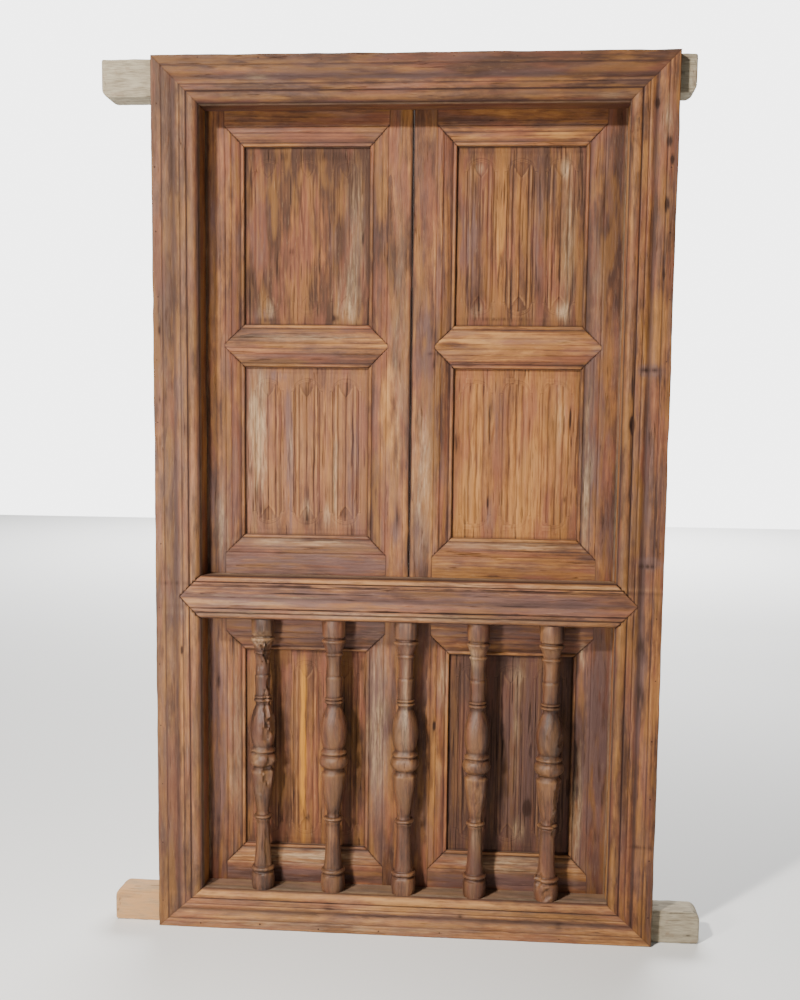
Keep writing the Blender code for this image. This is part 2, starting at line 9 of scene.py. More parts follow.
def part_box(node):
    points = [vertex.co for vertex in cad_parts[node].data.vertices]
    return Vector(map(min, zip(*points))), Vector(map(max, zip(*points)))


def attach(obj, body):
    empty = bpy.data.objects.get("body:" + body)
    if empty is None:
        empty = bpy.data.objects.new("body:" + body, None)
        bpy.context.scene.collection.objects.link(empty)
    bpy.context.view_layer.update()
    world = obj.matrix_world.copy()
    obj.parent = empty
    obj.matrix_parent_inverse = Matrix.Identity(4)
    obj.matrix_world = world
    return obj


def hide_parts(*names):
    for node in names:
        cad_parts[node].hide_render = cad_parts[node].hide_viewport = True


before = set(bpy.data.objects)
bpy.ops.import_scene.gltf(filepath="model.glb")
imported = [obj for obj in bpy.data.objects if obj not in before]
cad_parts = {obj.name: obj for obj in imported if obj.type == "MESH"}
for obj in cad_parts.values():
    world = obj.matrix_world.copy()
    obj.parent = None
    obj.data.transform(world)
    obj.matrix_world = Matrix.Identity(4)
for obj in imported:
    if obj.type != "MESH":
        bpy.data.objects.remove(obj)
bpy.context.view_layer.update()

mm = 0.001


# Camera, lights and floor

def makeCamera():
    view = {
        "place": (0.2438, -2.8743, 1.2283),
        "turnLeft": 4.286,      # degrees from looking along +Y
        "tiltDown": 6.113,
        "roll": 0.75,
        "lens": 42.63,
        "shift": (-0.020, 0.063),
    }
    left, down, roll = (radians(view[key]) for key in ("turnLeft", "tiltDown", "roll"))
    forward = Vector((-sin(left) * cos(down), cos(left) * cos(down), -sin(down)))
    level = Vector((cos(left), sin(left), 0.0))
    upright = level.cross(forward)
    right = level * cos(roll) + upright * sin(roll)
    up = upright * cos(roll) - level * sin(roll)
    data = bpy.data.cameras.new("camera")
    data.sensor_width = 36.0
    data.lens = view["lens"]
    data.shift_x, data.shift_y = view["shift"]
    camera = bpy.data.objects.new("camera", data)
    turn = Matrix((right, up, -forward)).transposed().to_4x4()
    camera.matrix_world = Matrix.Translation(view["place"]) @ turn
    bpy.context.collection.objects.link(camera)
    bpy.context.scene.camera = camera


def makeLights():
    lamps = {
        # name: place, aims at, width, watts, colour
        "keyLamp": ((-1.85, -3.2, 3.8), (0.0, 0.0, 1.0), 0.30, 350.0, (1.0, 0.95, 0.88)),
        "fillLamp": ((-0.74, -1.62, 0.95), (-0.1, 0.0, 0.9), 0.26, 31.0, (1.0, 0.97, 0.93)),
        "rightLamp": ((3.2, -2.6, 1.7), (0.0, 0.0, 1.0), 1.8, 10.0, (0.97, 0.98, 1.0)),
        "backLamp": ((1.5, 3.4, 3.0), (0.0, 0.0, 1.0), 2.0, 90.0, (1.0, 0.98, 0.96)),
        "floorLamp": ((0.0, 11.0, 7.0), (0.0, 11.0, 0.0), 9.0, 3600.0, (1.0, 1.0, 1.0)),
    }
    for name, (place, aim, width, watts, colour) in lamps.items():
        data = bpy.data.lights.new(name, "AREA")
        data.shape = "DISK"
        data.size = width
        data.energy = watts
        data.color = colour
        lamp = bpy.data.objects.new(name, data)
        lamp.location = place
        lamp.visible_camera = False
        lamp.rotation_euler = (Vector(aim) - Vector(place)).to_track_quat("-Z", "Y").to_euler()
        bpy.context.collection.objects.link(lamp)
    world = bpy.data.worlds.new("studio")
    bpy.context.scene.world = world
    world.use_nodes = True
    sky = world.node_tree.nodes["Background"]
    sky.inputs["Color"].default_value = (0.93, 0.94, 0.95, 1.0)
    sky.inputs["Strength"].default_value = 0.11
    # The backdrop itself is brighter than the light it gives.
    backdrop = world.node_tree.nodes.new("ShaderNodeBackground")
    backdrop.inputs["Color"].default_value = (1.0, 1.0, 1.0, 1.0)
    backdrop.inputs["Strength"].default_value = 4.5
    seen = world.node_tree.nodes.new("ShaderNodeLightPath")
    blend = world.node_tree.nodes.new("ShaderNodeMixShader")
    links = world.node_tree.links
    links.new(seen.outputs["Is Camera Ray"], blend.inputs[0])
    links.new(sky.outputs[0], blend.inputs[1])
    links.new(backdrop.outputs[0], blend.inputs[2])
    links.new(blend.outputs[0], world.node_tree.nodes["World Output"].inputs["Surface"])


def makeFloor():
    floorValues = {"half": 14.0, "colour": (0.80, 0.80, 0.79, 1.0), "roughness": 0.9}
    half = floorValues["half"]
    corners = [(-half, -half, 0.0), (half, -half, 0.0), (half, half, 0.0), (-half, half, 0.0)]
    mesh = bpy.data.meshes.new("floor")
    mesh.from_pydata(corners, [], [(0, 1, 2, 3)])
    material = bpy.data.materials.new("paleFloor")
    material.use_nodes = True
    shader = material.node_tree.nodes["Principled BSDF"]
    shader.inputs["Base Color"].default_value = floorValues["colour"]
    shader.inputs["Roughness"].default_value = floorValues["roughness"]
    mesh.materials.append(material)
    floor = bpy.data.objects.new("floor", mesh)
    bpy.context.collection.objects.link(floor)


makeCamera()
makeLights()
makeFloor()
print("camera, lights and floor are made")


# Noise and blurs on whole arrays

def softNoise(u, v, seed):
    # Random heights at whole numbers, blended smoothly between them, from -1 to 1.
    size = 128
    table = np.random.default_rng(seed).uniform(-1.0, 1.0, (size, size))
    u, v = np.broadcast_arrays(u, v)
    cellU, cellV = np.floor(u).astype(int), np.floor(v).astype(int)
    shareU, shareV = u - cellU, v - cellV
    shareU = shareU * shareU * (3 - 2 * shareU)
    shareV = shareV * shareV * (3 - 2 * shareV)
    nearU, farU = cellU % size, (cellU + 1) % size
    nearV, farV = cellV % size, (cellV + 1) % size
    low = table[nearU, nearV] * (1 - shareU) + table[farU, nearV] * shareU
    high = table[nearU, farV] * (1 - shareU) + table[farU, farV] * shareU
    return low * (1 - shareV) + high * shareV


def layeredNoise(u, v, seed, layers=3):
    # Each layer is twice as fine and half as strong as the one before it.
    total = sum(softNoise(u * 2 ** k, v * 2 ** k, seed + 17 * k) / 2 ** k for k in range(layers))
    return total / (2 - 0.5 ** (layers - 1))


def smoothStep(values, start, end):
    # The share of the way from start to end, eased: three of its squares less two of its cubes.
    share = np.clip((values - start) / (end - start), 0.0, 1.0)
    return share * share * (3 - 2 * share)


def blurColumns(values, reach):
    # Mean of each point with reach neighbours on both sides, along the second axis.
    padded = np.pad(values, ((0, 0), (reach, reach)), mode="edge")
    width = values.shape[1]
    return sum(padded[:, k:k + width] for k in range(2 * reach + 1)) / (2 * reach + 1)


def blurRows(values, reach):
    # The same along the first axis.
    return blurColumns(values.T, reach).T


# Age marks on the front: x, z, half width and half height in millimetres of the frame, then
# strength. Bloom is the purple-grey film, pale is flaked grey wood, ochre a yellow stain, the tone
# marks above 0 are orange and below 0 dull brown, the dark marks are dirt and in some places painted
# shade, dent a hollow in millimetres.

ageMarks = {
    "frame": {
        "bloom": [(561, 1385, 26, 12, 2.2), (572, 937, 26, 12, 2.0), (566, 1210, 12, 50, 0.5),
            (571, 1080, 14, 100, 0.7), (561, 670, 16, 100, 1.5), (-545, 1300, 12, 100, 0.6),
            (-553, 1020, 10, 140, 0.8), (-560, 800, 20, 80, 0.5), (-400, 2052, 100, 10, 0.8),
            (-50, 2050, 160, 10, 0.7), (300, 2052, 140, 9, 0.4), (50, 52, 300, 12, 0.6),
            (-200, 838, 350, 20, 0.9), (300, 838, 160, 16, 1.2)],
        "grime": [(561, 1388, 22, 5, 0.9), (566, 932, 22, 5, 0.85), (560, 731, 11, 30, 0.7),
            (564, 610, 10, 35, 0.7), (524.3, 1262, 6, 18, 1.6), (522.5, 1120, 3, 200, 0.5),
            (522.5, 1360, 3, 60, 0.6), (576, 247.2, 36, 1.4, 0.9), (588, 1900, 6, 12, 1.0),
            (587, 1759, 5, 14, 1.5), (559, 1984, 4.5, 8, 1.4), (584, 1603, 4, 10, 1.3),
            (595, 1859, 4, 9, 1.1), (-594, 1471, 3, 10, 1.1), (-595.5, 1306, 3, 9, 1.1),
            (-547, 701, 3, 10, 1.0), (300, 2006, 100, 4, 0.35), (-180, 66, 14, 12, 0.75),
            (144, 59, 7, 10, 0.7), (385, 40, 8, 10, 0.7), (250, 827, 160, 3, 0.7),
            (0, 864, 620, 2.4, 1.3), (0, 807, 620, 2.2, 1.1), (-250, 846, 240, 2.2, 0.8)],
        "tone": [(555, 1850, 18, 120, 0.8), (590, 1000, 14, 900, 0.35), (-600, 1000, 12, 1100, 0.5),
            (-578, 1000, 12, 1100, -0.35), (-522, 1000, 26, 1100, 0.6), (-559, 1350, 10, 160, 0.9),
            (-556, 450, 20, 300, 0.5), (300, 2034, 240, 8, 0.8), (50, 2025, 300, 6, 0.7),
            (0, 87, 500, 6, 1.1), (100, 872, 500, 7, 0.9), (0, 840, 500, 18, -0.7),
            (50, 797, 600, 8, -0.4)],
        "dent": [(524.3, 1262, 6, 14, 4.0), (576, 247.2, 36, 1.6, 1.2), (587, 1759, 4, 12, 3.0)],
        "pale": [(585, 1950, 14, 50, 0.55), (-360, 2046, 30, 8, 0.6), (450, 2000, 60, 6, 0.4),
            (-200, 15, 300, 10, 0.35), (-400, 820, 120, 6, 0.5), (-100, 796, 400, 7, 0.55),
            (250, 876, 300, 5, 0.5), (-350, 836, 160, 4, 0.5)],
    },
    "leaf": {
        # The first two dark marks run down the gap between the leaves: painted shade in the gap.
        "grime": [(0, 1420, 4.2, 620, 1.3), (0, 900, 2.5, 500, 0.8), (-502, 1860, 6, 25, 0.6),
            (-474, 608, 4, 16, 1.0), (-476, 252, 2, 16, 1.0), (-28, 1030, 8, 30, 0.5),
            (68.4, 513, 4, 12, 1.1), (36, 318, 6, 16, 1.0), (56, 1424, 16, 3, 0.9),
            (50, 1155, 3, 6, 0.8)],
        "bloom": [(462, 450, 42, 300, 0.9), (260, 120, 200, 22, 1.2), (-260, 120, 200, 22, 1.0),
            (-475, 450, 30, 260, 0.9), (-490, 1800, 20, 120, 0.4), (-475, 1060, 25, 100, 0.9),
            (-250, 915, 220, 22, 1.0), (-250, 745, 200, 25, 0.8), (250, 745, 200, 25, 0.8),
            (-30, 1000, 14, 50, 0.9), (-75, 520, 30, 240, 1.3), (35, 1480, 20, 100, 0.7),
            (28, 980, 20, 80, 0.8), (445, 1250, 20, 300, 0.9), (485, 1000, 20, 60, 0.8),
            (475, 550, 25, 200, 0.7)],
        "tone": [(468, 450, 40, 300, -0.9), (260, 120, 200, 22, -0.8), (-260, 120, 200, 22, -0.6),
            (-475, 420, 30, 260, -0.5), (-485, 1550, 30, 220, 0.35), (-488, 450, 20, 160, 0.3),
            (250, 925, 200, 20, 0.9), (-60, 1250, 30, 220, 0.7), (85, 450, 20, 260, 1.3),
            (60, 1650, 30, 250, 0.5), (470, 1120, 18, 80, 1.0), (475, 1700, 30, 250, -0.4),
            (250, 1455, 160, 20, 0.9), (250, 1935, 160, 12, 1.0), (120, 1700, 10, 200, 0.9)],
        "pale": [(-430, 450, 20, 220, 0.35), (-465, 1000, 16, 90, 0.5), (-30, 1450, 20, 350, 0.25),
            (-75, 500, 28, 200, 0.6), (90, 620, 12, 80, 0.6), (30, 1120, 22, 160, 0.7),
            (428, 1150, 12, 160, 0.8), (440, 1600, 12, 100, 0.4), (425, 300, 12, 140, 0.9),
            (430, 700, 8, 30, 1.0), (-270, 1462, 160, 8, 0.5), (-260, 965, 140, 10, 0.6),
            (260, 965, 140, 10, 0.5), (-260, 165, 140, 20, 0.9), (260, 165, 140, 20, 0.8)],
        "dent": [(68.4, 513, 4, 12, 3.0), (50, 300, 6, 50, 2.0)],
    },
    "left_panel_upper": {
        "tone": [(-270, 1700, 75, 170, 1.3), (-210, 1600, 20, 100, 0.5)],
        "pale": [(-138, 1700, 20, 150, 0.42), (-155, 1570, 28, 70, 0.35), (-355, 1530, 20, 22, 0.5),
            (-165, 1525, 20, 25, 0.55)],
        "bloom": [(-140, 1680, 30, 180, 0.6), (-195, 1700, 14, 100, 0.6), (-370, 1720, 35, 160, 0.6),
            (-360, 1515, 30, 20, 0.8)],
        # The last dark mark, a band along the top under the rail's moulding, is a painted shadow.
        "grime": [(-120, 1700, 4, 20, 0.9), (-396, 1800, 6, 40, 0.5), (-396, 1600, 7, 60, 0.5),
            (-293, 1667, 6, 7, 0.9), (-355, 1505, 20, 6, 0.5), (-190, 1510, 12, 8, 0.6),
            (-260, 1890, 140, 12, 0.4)],
        "dent": [(-360, 1530, 10, 14, 0.8), (-140, 1660, 10, 80, 0.5)],
    },
    "right_panel_upper": {
        "tone": [(209, 1700, 15, 200, 1.5), (250, 1660, 10, 180, 1.0), (305, 1700, 14, 200, -1.2),
            (330, 1700, 8, 150, 0.8), (120, 1600, 10, 100, 0.5)],
        "bloom": [(135, 1700, 24, 140, 0.9), (300, 1720, 12, 160, 0.9)],
        "grime": [(300, 1570, 12, 40, 0.4), (150, 1550, 16, 30, 0.4), (205, 1510, 80, 4, 0.4)],
        "pale": [(370, 1700, 14, 160, 0.55), (158, 1860, 8, 12, 0.9), (357, 1860, 10, 20, 1.0),
            (155, 1530, 12, 16, 0.7), (362, 1530, 16, 20, 1.0)],
    },
    "left_panel_middle": {
        "bloom": [(-298, 1170, 9, 180, 1.2), (-140, 1150, 14, 160, 0.7), (-330, 1370, 30, 12, 0.8)],
        "pale": [(-298, 1200, 6, 50, 0.5), (-375, 1260, 20, 120, 0.9), (-380, 1180, 30, 170, 0.45),
            (-185, 1130, 6, 120, 0.8), (-255, 1040, 12, 25, 0.6), (-205, 1030, 8, 30, 0.6)],
        "tone": [(-270, 1160, 12, 140, 0.9), (-205, 1200, 14, 160, 1.2)],
        "grime": [(-385, 1060, 9, 50, 0.45), (-360, 1030, 18, 30, 0.45), (-255, 1020, 18, 22, 0.4),
            (-165, 1035, 8, 12, 0.8), (-255, 1335, 14, 16, 0.35), (-165, 1340, 14, 20, 0.35),
            (-396, 1140, 5, 12, 0.35)],
    },
    "right_panel_middle": {
        "tone": [(155, 1160, 30, 180, 1.1), (300, 1100, 50, 140, 1.2), (360, 1200, 20, 160, 0.6)],
        "bloom": [(200, 1270, 20, 80, 0.7), (195, 1030, 12, 50, 0.6)],
        "grime": [(195, 1290, 6, 30, 0.5), (110.5, 1210, 4, 22, 0.9), (386, 1275, 3, 24, 1.1),
            (377, 1080, 3, 8, 0.8), (190, 1070, 3, 14, 0.7)],
        "dent": [(386, 1275, 2, 22, 1.6)],
        "pale": [(360, 1280, 12, 100, 0.4)],
    },
    "left_panel_lower": {
        "ochre": [(-262, 455, 7.5, 185, 1.8)],
        "tone": [(-240, 400, 50, 200, 0.9), (-360, 420, 30, 220, 0.3)],
        "grime": [(-250, 262, 6, 10, 0.7)],
        "bloom": [(-290, 520, 20, 140, 0.4)],
    },
    "right_panel_lower": {
        "bloom": [(270, 450, 50, 200, 0.8), (360, 450, 40, 220, 0.8)],
        "grime": [(305, 308, 12, 22, 0.9)],
        "pale": [(272, 520, 10, 140, 0.6), (282, 250, 14, 30, 0.9), (268, 640, 20, 20, 0.6)],
        "tone": [(130, 420, 20, 200, 0.5)],
    },
}


def markAmount(x, z, markName, kind, level=False):
    # Sum of soft ovals: strength times exp of minus a power of the squared distance, counted in
    # half widths and half heights, with edges made ragged along the grain by noise.
    total = np.zeros(np.broadcast(x, z).shape)
    marks = ageMarks.get(markName, {}).get(kind, ())
    if marks:
        along, across = (x, z) if level else (z, x)
        ragged = layeredNoise(across / 0.006, along / 0.05, 400 + len(kind))
        for midX, midZ, halfX, halfZ, strength in marks:
            reach = ((x / mm - midX) / halfX) ** 2 + ((z / mm - midZ) / halfZ) ** 2
            total += strength * np.exp(-reach ** 1.3) * np.clip(1 + 1.6 * ragged, 0, 2.4)
    return total


def allMarks(x, z, markName, level=False):
    kinds = ("dent", "tone", "bloom", "pale", "ochre", "grime")
    return {kind: markAmount(x, z, markName, kind, level) for kind in kinds}


# Wood

def addNode(tree, kind, **settings):
    # Inputs are given by name or, after "at", by number: a socket is linked, a value is set.
    node = tree.nodes.new(kind)
    for key, value in settings.items():
        if key[2:].isdigit():
            target = node.inputs[int(key[2:])]
        elif key.replace("_", " ") in node.inputs:
            target = node.inputs[key.replace("_", " ")]
        else:
            setattr(node, key, value)
            continue
        if isinstance(value, bpy.types.NodeSocket):
            tree.links.new(value, target)
        else:
            target.default_value = value
    return node


def mathOf(tree, operation, first, second=0.0, third=0.0):
    node = addNode(tree, "ShaderNodeMath", operation=operation, at0=first, at1=second, at2=third)
    return node.outputs[0]


def rangeOf(tree, value, low, high, outLow=0.0, outHigh=1.0):
    node = addNode(tree, "ShaderNodeMapRange", interpolation_type="SMOOTHSTEP", Value=value,
                   From_Min=low, From_Max=high, To_Min=outLow, To_Max=outHigh)
    return node.outputs["Result"]


def mixColour(tree, factor, first, second, blend="MIX"):
    node = addNode(tree, "ShaderNodeMix", data_type="RGBA", blend_type=blend)
    for place, value in ((0, factor), (6, first), (7, second)):
        if isinstance(value, bpy.types.NodeSocket):
            tree.links.new(value, node.inputs[place])
        else:
            node.inputs[place].default_value = value
    return node.outputs[2]


def vectorOf(tree, operation, first, second, **more):
    node = addNode(tree, "ShaderNodeVectorMath", operation=operation, at0=first, at1=second, **more)
    return node.outputs[0]


def linear(red, green, blue):
    # Screen colour from 0 to 255 as linear light.
    shares = np.array([red, green, blue]) / 255
    light = np.where(shares <= 0.04045, shares / 12.92, ((shares + 0.055) / 1.055) ** 2.4)
    return (*light.tolist(), 1.0)


ageNames = ("tone", "wear", "grime", "bloom", "pale", "ochre", "raw")
woodNoises = {
    # cells per metre along and across the grain, detail, roughness
    "fibre": (34, 560, 3.0, 0.6), "streak": (6.5, 105, 4.0, 0.6), "mottle": (20, 52, 5.0, 0.62),
    "broad": (3.2, 17, 3.0, 0.55), "flake": (34, 260, 4.0, 0.65), "rosy": (4.3, 24, 3.0, 0.55),
    "golden": (5.1, 33, 3.0, 0.55), "film": (6, 42, 4.0, 0.6), "crackRun": (3.2, 130, 3.0, 0.5),
    "crackPlace": (7, 60, 2.0, 0.55),
}
woodRanges = {
    # which noise, its low and high value, and what comes out there
    "rosy": ("rosy", 0.46, 0.62, 0.0, 0.7), "golden": ("golden", 0.48, 0.62, 0.0, 1.0),
    "film": ("film", 0.46, 0.66, 0.0, 1.0), "filmHold": ("streak", 0.25, 0.65, 0.2, 0.8),
    "flakes": ("flake", 0.40, 0.62, 0.0, 1.0), "paleSpecks": ("flake", 0.60, 0.72, 0.0, 1.0),
    "darkSpecks": ("flake", 0.36, 0.27, 0.0, 0.4), "rubbedHold": ("mottle", 0.30, 0.62, 0.25, 1.0),
    "warmHold": ("mottle", 0.25, 0.65, 0.45, 1.0), "dirtAndShadeHold": ("mottle", 0.2, 0.6, 0.75, 1.0),
    "pores": ("fibre", 0.28, 0.40, 0.22, 0.0), "cracked": ("crackPlace", 0.56, 0.64, 0.0, 1.0),
}
shadeShares = {"streak": 0.36, "mottle": 0.74, "broad": 1.15, "fibre": 0.28, "tone": 0.24}
rawShares = {"fibre": 0.6, "mottle": 0.5}
reliefShares = {"rings": 0.35, "fibre": 0.8, "streak": 0.9, "flakes": -0.22, "crack": -1.6}


def makeWood(name, finish):
    # Layers of noise drawn out along the grain give the shade. Film, flakes, rubbed wood and
    # dirt are laid over it, each where its own noise and the piece's age marks put it. The dark layer
    # also carries painted shade, and the tone layer painted highlights and shade.
    material = bpy.data.materials.new(name)
    material.use_nodes = True
    tree = material.node_tree
    shader = tree.nodes["Principled BSDF"]

    def weighed(shares, start=0.0):
        # Start plus the sum of layers, each times its share.
        for key, share in shares.items():
            start = mathOf(tree, "MULTIPLY_ADD", layers[key], share, start)
        return start

    def times(first, second, most=None):
        product = mathOf(tree, "MULTIPLY", first, second)
        return product if most is None else mathOf(tree, "MINIMUM", product, most)

    def cover(under, factor, key):
        return mixColour(tree, factor, under, linear(*finish[key]))

    # The grain wanders: a slow noise shifts it sideways.
    grain = addNode(tree, "ShaderNodeAttribute", attribute_name="grain").outputs["Vector"]
    slow = vectorOf(tree, "MULTIPLY", grain, (3.0, 9.0, 9.0))
    slowNoise = addNode(tree, "ShaderNodeTexNoise", Vector=slow, Scale=1.0, Detail=2.0)
    centred = vectorOf(tree, "SUBTRACT", slowNoise.outputs["Color"], (0.5, 0.5, 0.5))
    sideways = (0.0, finish["sway"], finish["sway"])
    fibreSpace = vectorOf(tree, "MULTIPLY_ADD", centred, sideways, at2=grain)
    layers = {}
    for key in ageNames:
        layers[key] = addNode(tree, "ShaderNodeAttribute", attribute_name=key).outputs["Fac"]
    ringSpace = vectorOf(tree, "MULTIPLY", fibreSpace, (0.35, 1.0, 1.0))
    layers["rings"] = addNode(tree, "ShaderNodeTexWave", wave_type="RINGS", rings_direction="X",
                              wave_profile="SAW", Vector=ringSpace, Scale=finish["ringScale"],
                              Distortion=1.6, Detail=2.0, Detail_Scale=0.6).outputs["Fac"]
    noises = {}
    for key, (along, across, detail, roughness) in woodNoises.items():
        stretched = vectorOf(tree, "MULTIPLY", fibreSpace, (along, across, across))
        noises[key] = addNode(tree, "ShaderNodeTexNoise", Vector=stretched, Scale=1.0, Detail=detail,
                              Roughness=roughness).outputs["Fac"]
    layers.update({key: noises[key] for key in ("fibre", "streak", "mottle", "broad")})
    parts = {key: rangeOf(tree, noises[noise], *span) for key, (noise, *span) in woodRanges.items()}

    # The shade picks a colour from the ramp, and darkens or lifts all the layers over it.
    shade = weighed(shadeShares, times(layers["rings"], -finish["ringDepth"]))
    depth = rangeOf(tree, shade, *finish["shadeRange"], *finish["depthRange"])
    ramp = addNode(tree, "ShaderNodeValToRGB", Fac=rangeOf(tree, shade, *finish["shadeRange"]))
    darkest, *between, lightest = [linear(*colour) for colour in finish["colours"]]
    stops = ramp.color_ramp.elements
    stops[0].color, stops[1].color = darkest, lightest
    for k, colour in enumerate(between, start=1):
        stops.new(k / (len(between) + 1)).color = colour
    colour = cover(ramp.outputs["Color"], parts["rosy"], "rosyColour")
    colour = cover(colour, times(parts["golden"], finish["golden"]), "goldenColour")
    # Purple-grey film in long blotches, then flaked, dry grey wood.
    filmMark = times(layers["bloom"], parts["filmHold"])
    film = mathOf(tree, "MULTIPLY_ADD", parts["film"], finish["film"], filmMark)
    colour = cover(colour, mathOf(tree, "MINIMUM", film, 0.85), "filmColour")
    paleMark = times(layers["pale"], mathOf(tree, "MULTIPLY_ADD", parts["flakes"], 0.45, 0.36))
    pale = mathOf(tree, "MULTIPLY_ADD", parts["paleSpecks"], finish["specks"], paleMark)
    colour = cover(colour, mathOf(tree, "MINIMUM", pale, 0.9), "paleColour")
    colour = cover(colour, parts["darkSpecks"], "dirtAndShadeColour")
    # Rubbed arrises show lighter wood, and a yellow stain lies where ochre is marked.
    rubbed = times(layers["wear"], parts["rubbedHold"])
    colour = cover(colour, times(rubbed, finish["wear"]), "wearColour")
    colour = cover(colour, mathOf(tree, "MINIMUM", layers["ochre"], 0.9), "ochreColour")
    colour = mixColour(tree, 1.0, colour, depth, "MULTIPLY")
    # Unfinished wood of the horns and the hidden sides.
    rawPlace = rangeOf(tree, weighed(rawShares), 0.35, 0.75)
    rawColour = mixColour(tree, rawPlace, linear(*finish["rawDark"]), linear(*finish["rawLight"]))
    rawColour = cover(rawColour, times(layers["tone"], parts["warmHold"], most=0.92), "rawWarm")
    colour = mixColour(tree, layers["raw"], colour, rawColour)
    # Dirt and painted shade in the hollows, corners and gaps, dark cracks along the grain and fine dark
    # pores.
    colour = cover(colour, times(layers["grime"], parts["dirtAndShadeHold"], most=0.93), "dirtAndShadeColour")
    crackLine = mathOf(tree, "ABSOLUTE", mathOf(tree, "SUBTRACT", noises["crackRun"], 0.5))
    crack = times(rangeOf(tree, crackLine, 0.0, 0.012, 1.0, 0.0), parts["cracked"])
    colour = cover(colour, times(crack, finish["cracks"]), "dirtAndShadeColour")
    colour = cover(colour, parts["pores"], "dirtAndShadeColour")
    tree.links.new(colour, shader.inputs["Base Color"])

    # Rubbed and filmed wood has a soft gloss, dirt and painted shade and raw wood have none.
    gloss = weighed({"fibre": 0.30, "raw": 0.2, "grime": 0.15}, finish["roughness"])
    tree.links.new(mathOf(tree, "MINIMUM", gloss, 0.95), shader.inputs["Roughness"])
    shader.inputs["Specular IOR Level"].default_value = finish["specular"]

    # Relief: ridges of late wood, fibres, flakes and cracks.
    layers.update(flakes=parts["flakes"], crack=crack)
    bump = addNode(tree, "ShaderNodeBump", Strength=finish["bump"], Distance=0.0011,
                   Height=weighed(reliefShares))
    tree.links.new(bump.outputs["Normal"], shader.inputs["Normal"])
    return material


pineFinish = {
    "sway": 0.014, "ringScale": 40.0, "ringDepth": 0.22,
    "shadeRange": (0.78, 1.72), "depthRange": (0.66, 1.06),
    "colours": [(66, 36, 20), (92, 55, 30), (116, 72, 38), (138, 90, 47), (160, 114, 64)],
    "film": 0.42, "specks": 0.20, "golden": 0.60, "wear": 0.62, "cracks": 0.42,
    "filmColour": (98, 71, 66), "rosyColour": (122, 70, 48), "goldenColour": (138, 92, 40),
    "paleColour": (164, 136, 104), "wearColour": (164, 118, 70), "dirtAndShadeColour": (40, 20, 11),
    "ochreColour": (176, 118, 36), "rawDark": (108, 96, 79), "rawLight": (178, 168, 147),
    "rawWarm": (186, 142, 96), "roughness": 0.46, "specular": 0.30, "bump": 0.8,
}
carvedFinish = dict(pineFinish, **{
    "ringScale": 48.0, "ringDepth": 0.14, "shadeRange": (0.62, 1.88), "depthRange": (0.84, 1.03),
    "colours": [(66, 37, 19), (90, 53, 27), (112, 68, 33), (134, 85, 40), (154, 104, 52)],
    "film": 0.15, "specks": 0.22, "golden": 0.52, "wear": 0.85, "cracks": 0.35,
    "wearColour": (166, 120, 76), "roughness": 0.52,
})
turnedFinish = dict(pineFinish, **{
    "ringDepth": 0.16, "film": 0.30, "specks": 0.18, "wear": 0.55,
    "colours": [(44, 22, 12), (72, 42, 25), (98, 62, 38), (120, 80, 48), (142, 102, 64)],
    "filmColour": (84, 63, 54), "rosyColour": (98, 54, 32), "goldenColour": (112, 76, 42),
    "wearColour": (146, 106, 66), "roughness": 0.34, "specular": 0.45,
})
rawFinish = dict(pineFinish, rawDark=(124, 112, 92), rawLight=(170, 160, 138), bump=0.9)
woods = {
    "old_pine": makeWood("oldPine", pineFinish),
    "carved_pine": makeWood("carvedPine", carvedFinish),
    "turned_pine": makeWood("turnedPine", turnedFinish),
    "raw_pine": makeWood("rawPine", rawFinish),
}
print("the wood finishes are made")


# Making a mesh from a grid of points

def addPiece(name, body, node, slotName, points, faces, grain, ages):
    mesh = bpy.data.meshes.new(name)
    mesh.from_pydata(points.reshape(-1, 3).tolist(), [], faces)
    layer = mesh.attributes.new("grain", "FLOAT_VECTOR", "POINT")
    layer.data.foreach_set("vector", grain.reshape(-1).astype(np.float32))
    for key in ageNames:
        layer = mesh.attributes.new(key, "FLOAT", "POINT")
        values = np.broadcast_to(ages.get(key, 0.0), points.shape[:-1])
        layer.data.foreach_set("value", values.reshape(-1).astype(np.float32))
    builder = bmesh.new()
    builder.from_mesh(mesh)
    bmesh.ops.remove_doubles(builder, verts=builder.verts, dist=0.03 * mm)
    bmesh.ops.recalc_face_normals(builder, faces=builder.faces)
    builder.to_mesh(mesh)
    builder.free()
    mesh.shade_smooth()
    mesh.set_sharp_from_angle(angle=radians(48))
    mesh.materials.append(woods[slotName])
    piece = bpy.data.objects.new(name, mesh)
    bpy.context.collection.objects.link(piece)
    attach(piece, body)
    if node:
        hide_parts(node)
    return piece


def gridFaces(rows, columns, wrap=True, caps=True):
    # Quads between neighbours. wrap joins the last column to the first, caps close the ends.
    index = np.arange(rows * columns).reshape(rows, columns)
    here = index if wrap else index[:, :-1]
    beside = np.roll(index, -1, axis=1) if wrap else index[:, 1:]
    faces = np.stack([here[:-1], beside[:-1], beside[1:], here[1:]], axis=-1).reshape(-1, 4).tolist()
    if caps:
        faces += [index[0].tolist(), index[-1][::-1].tolist()]
    return faces


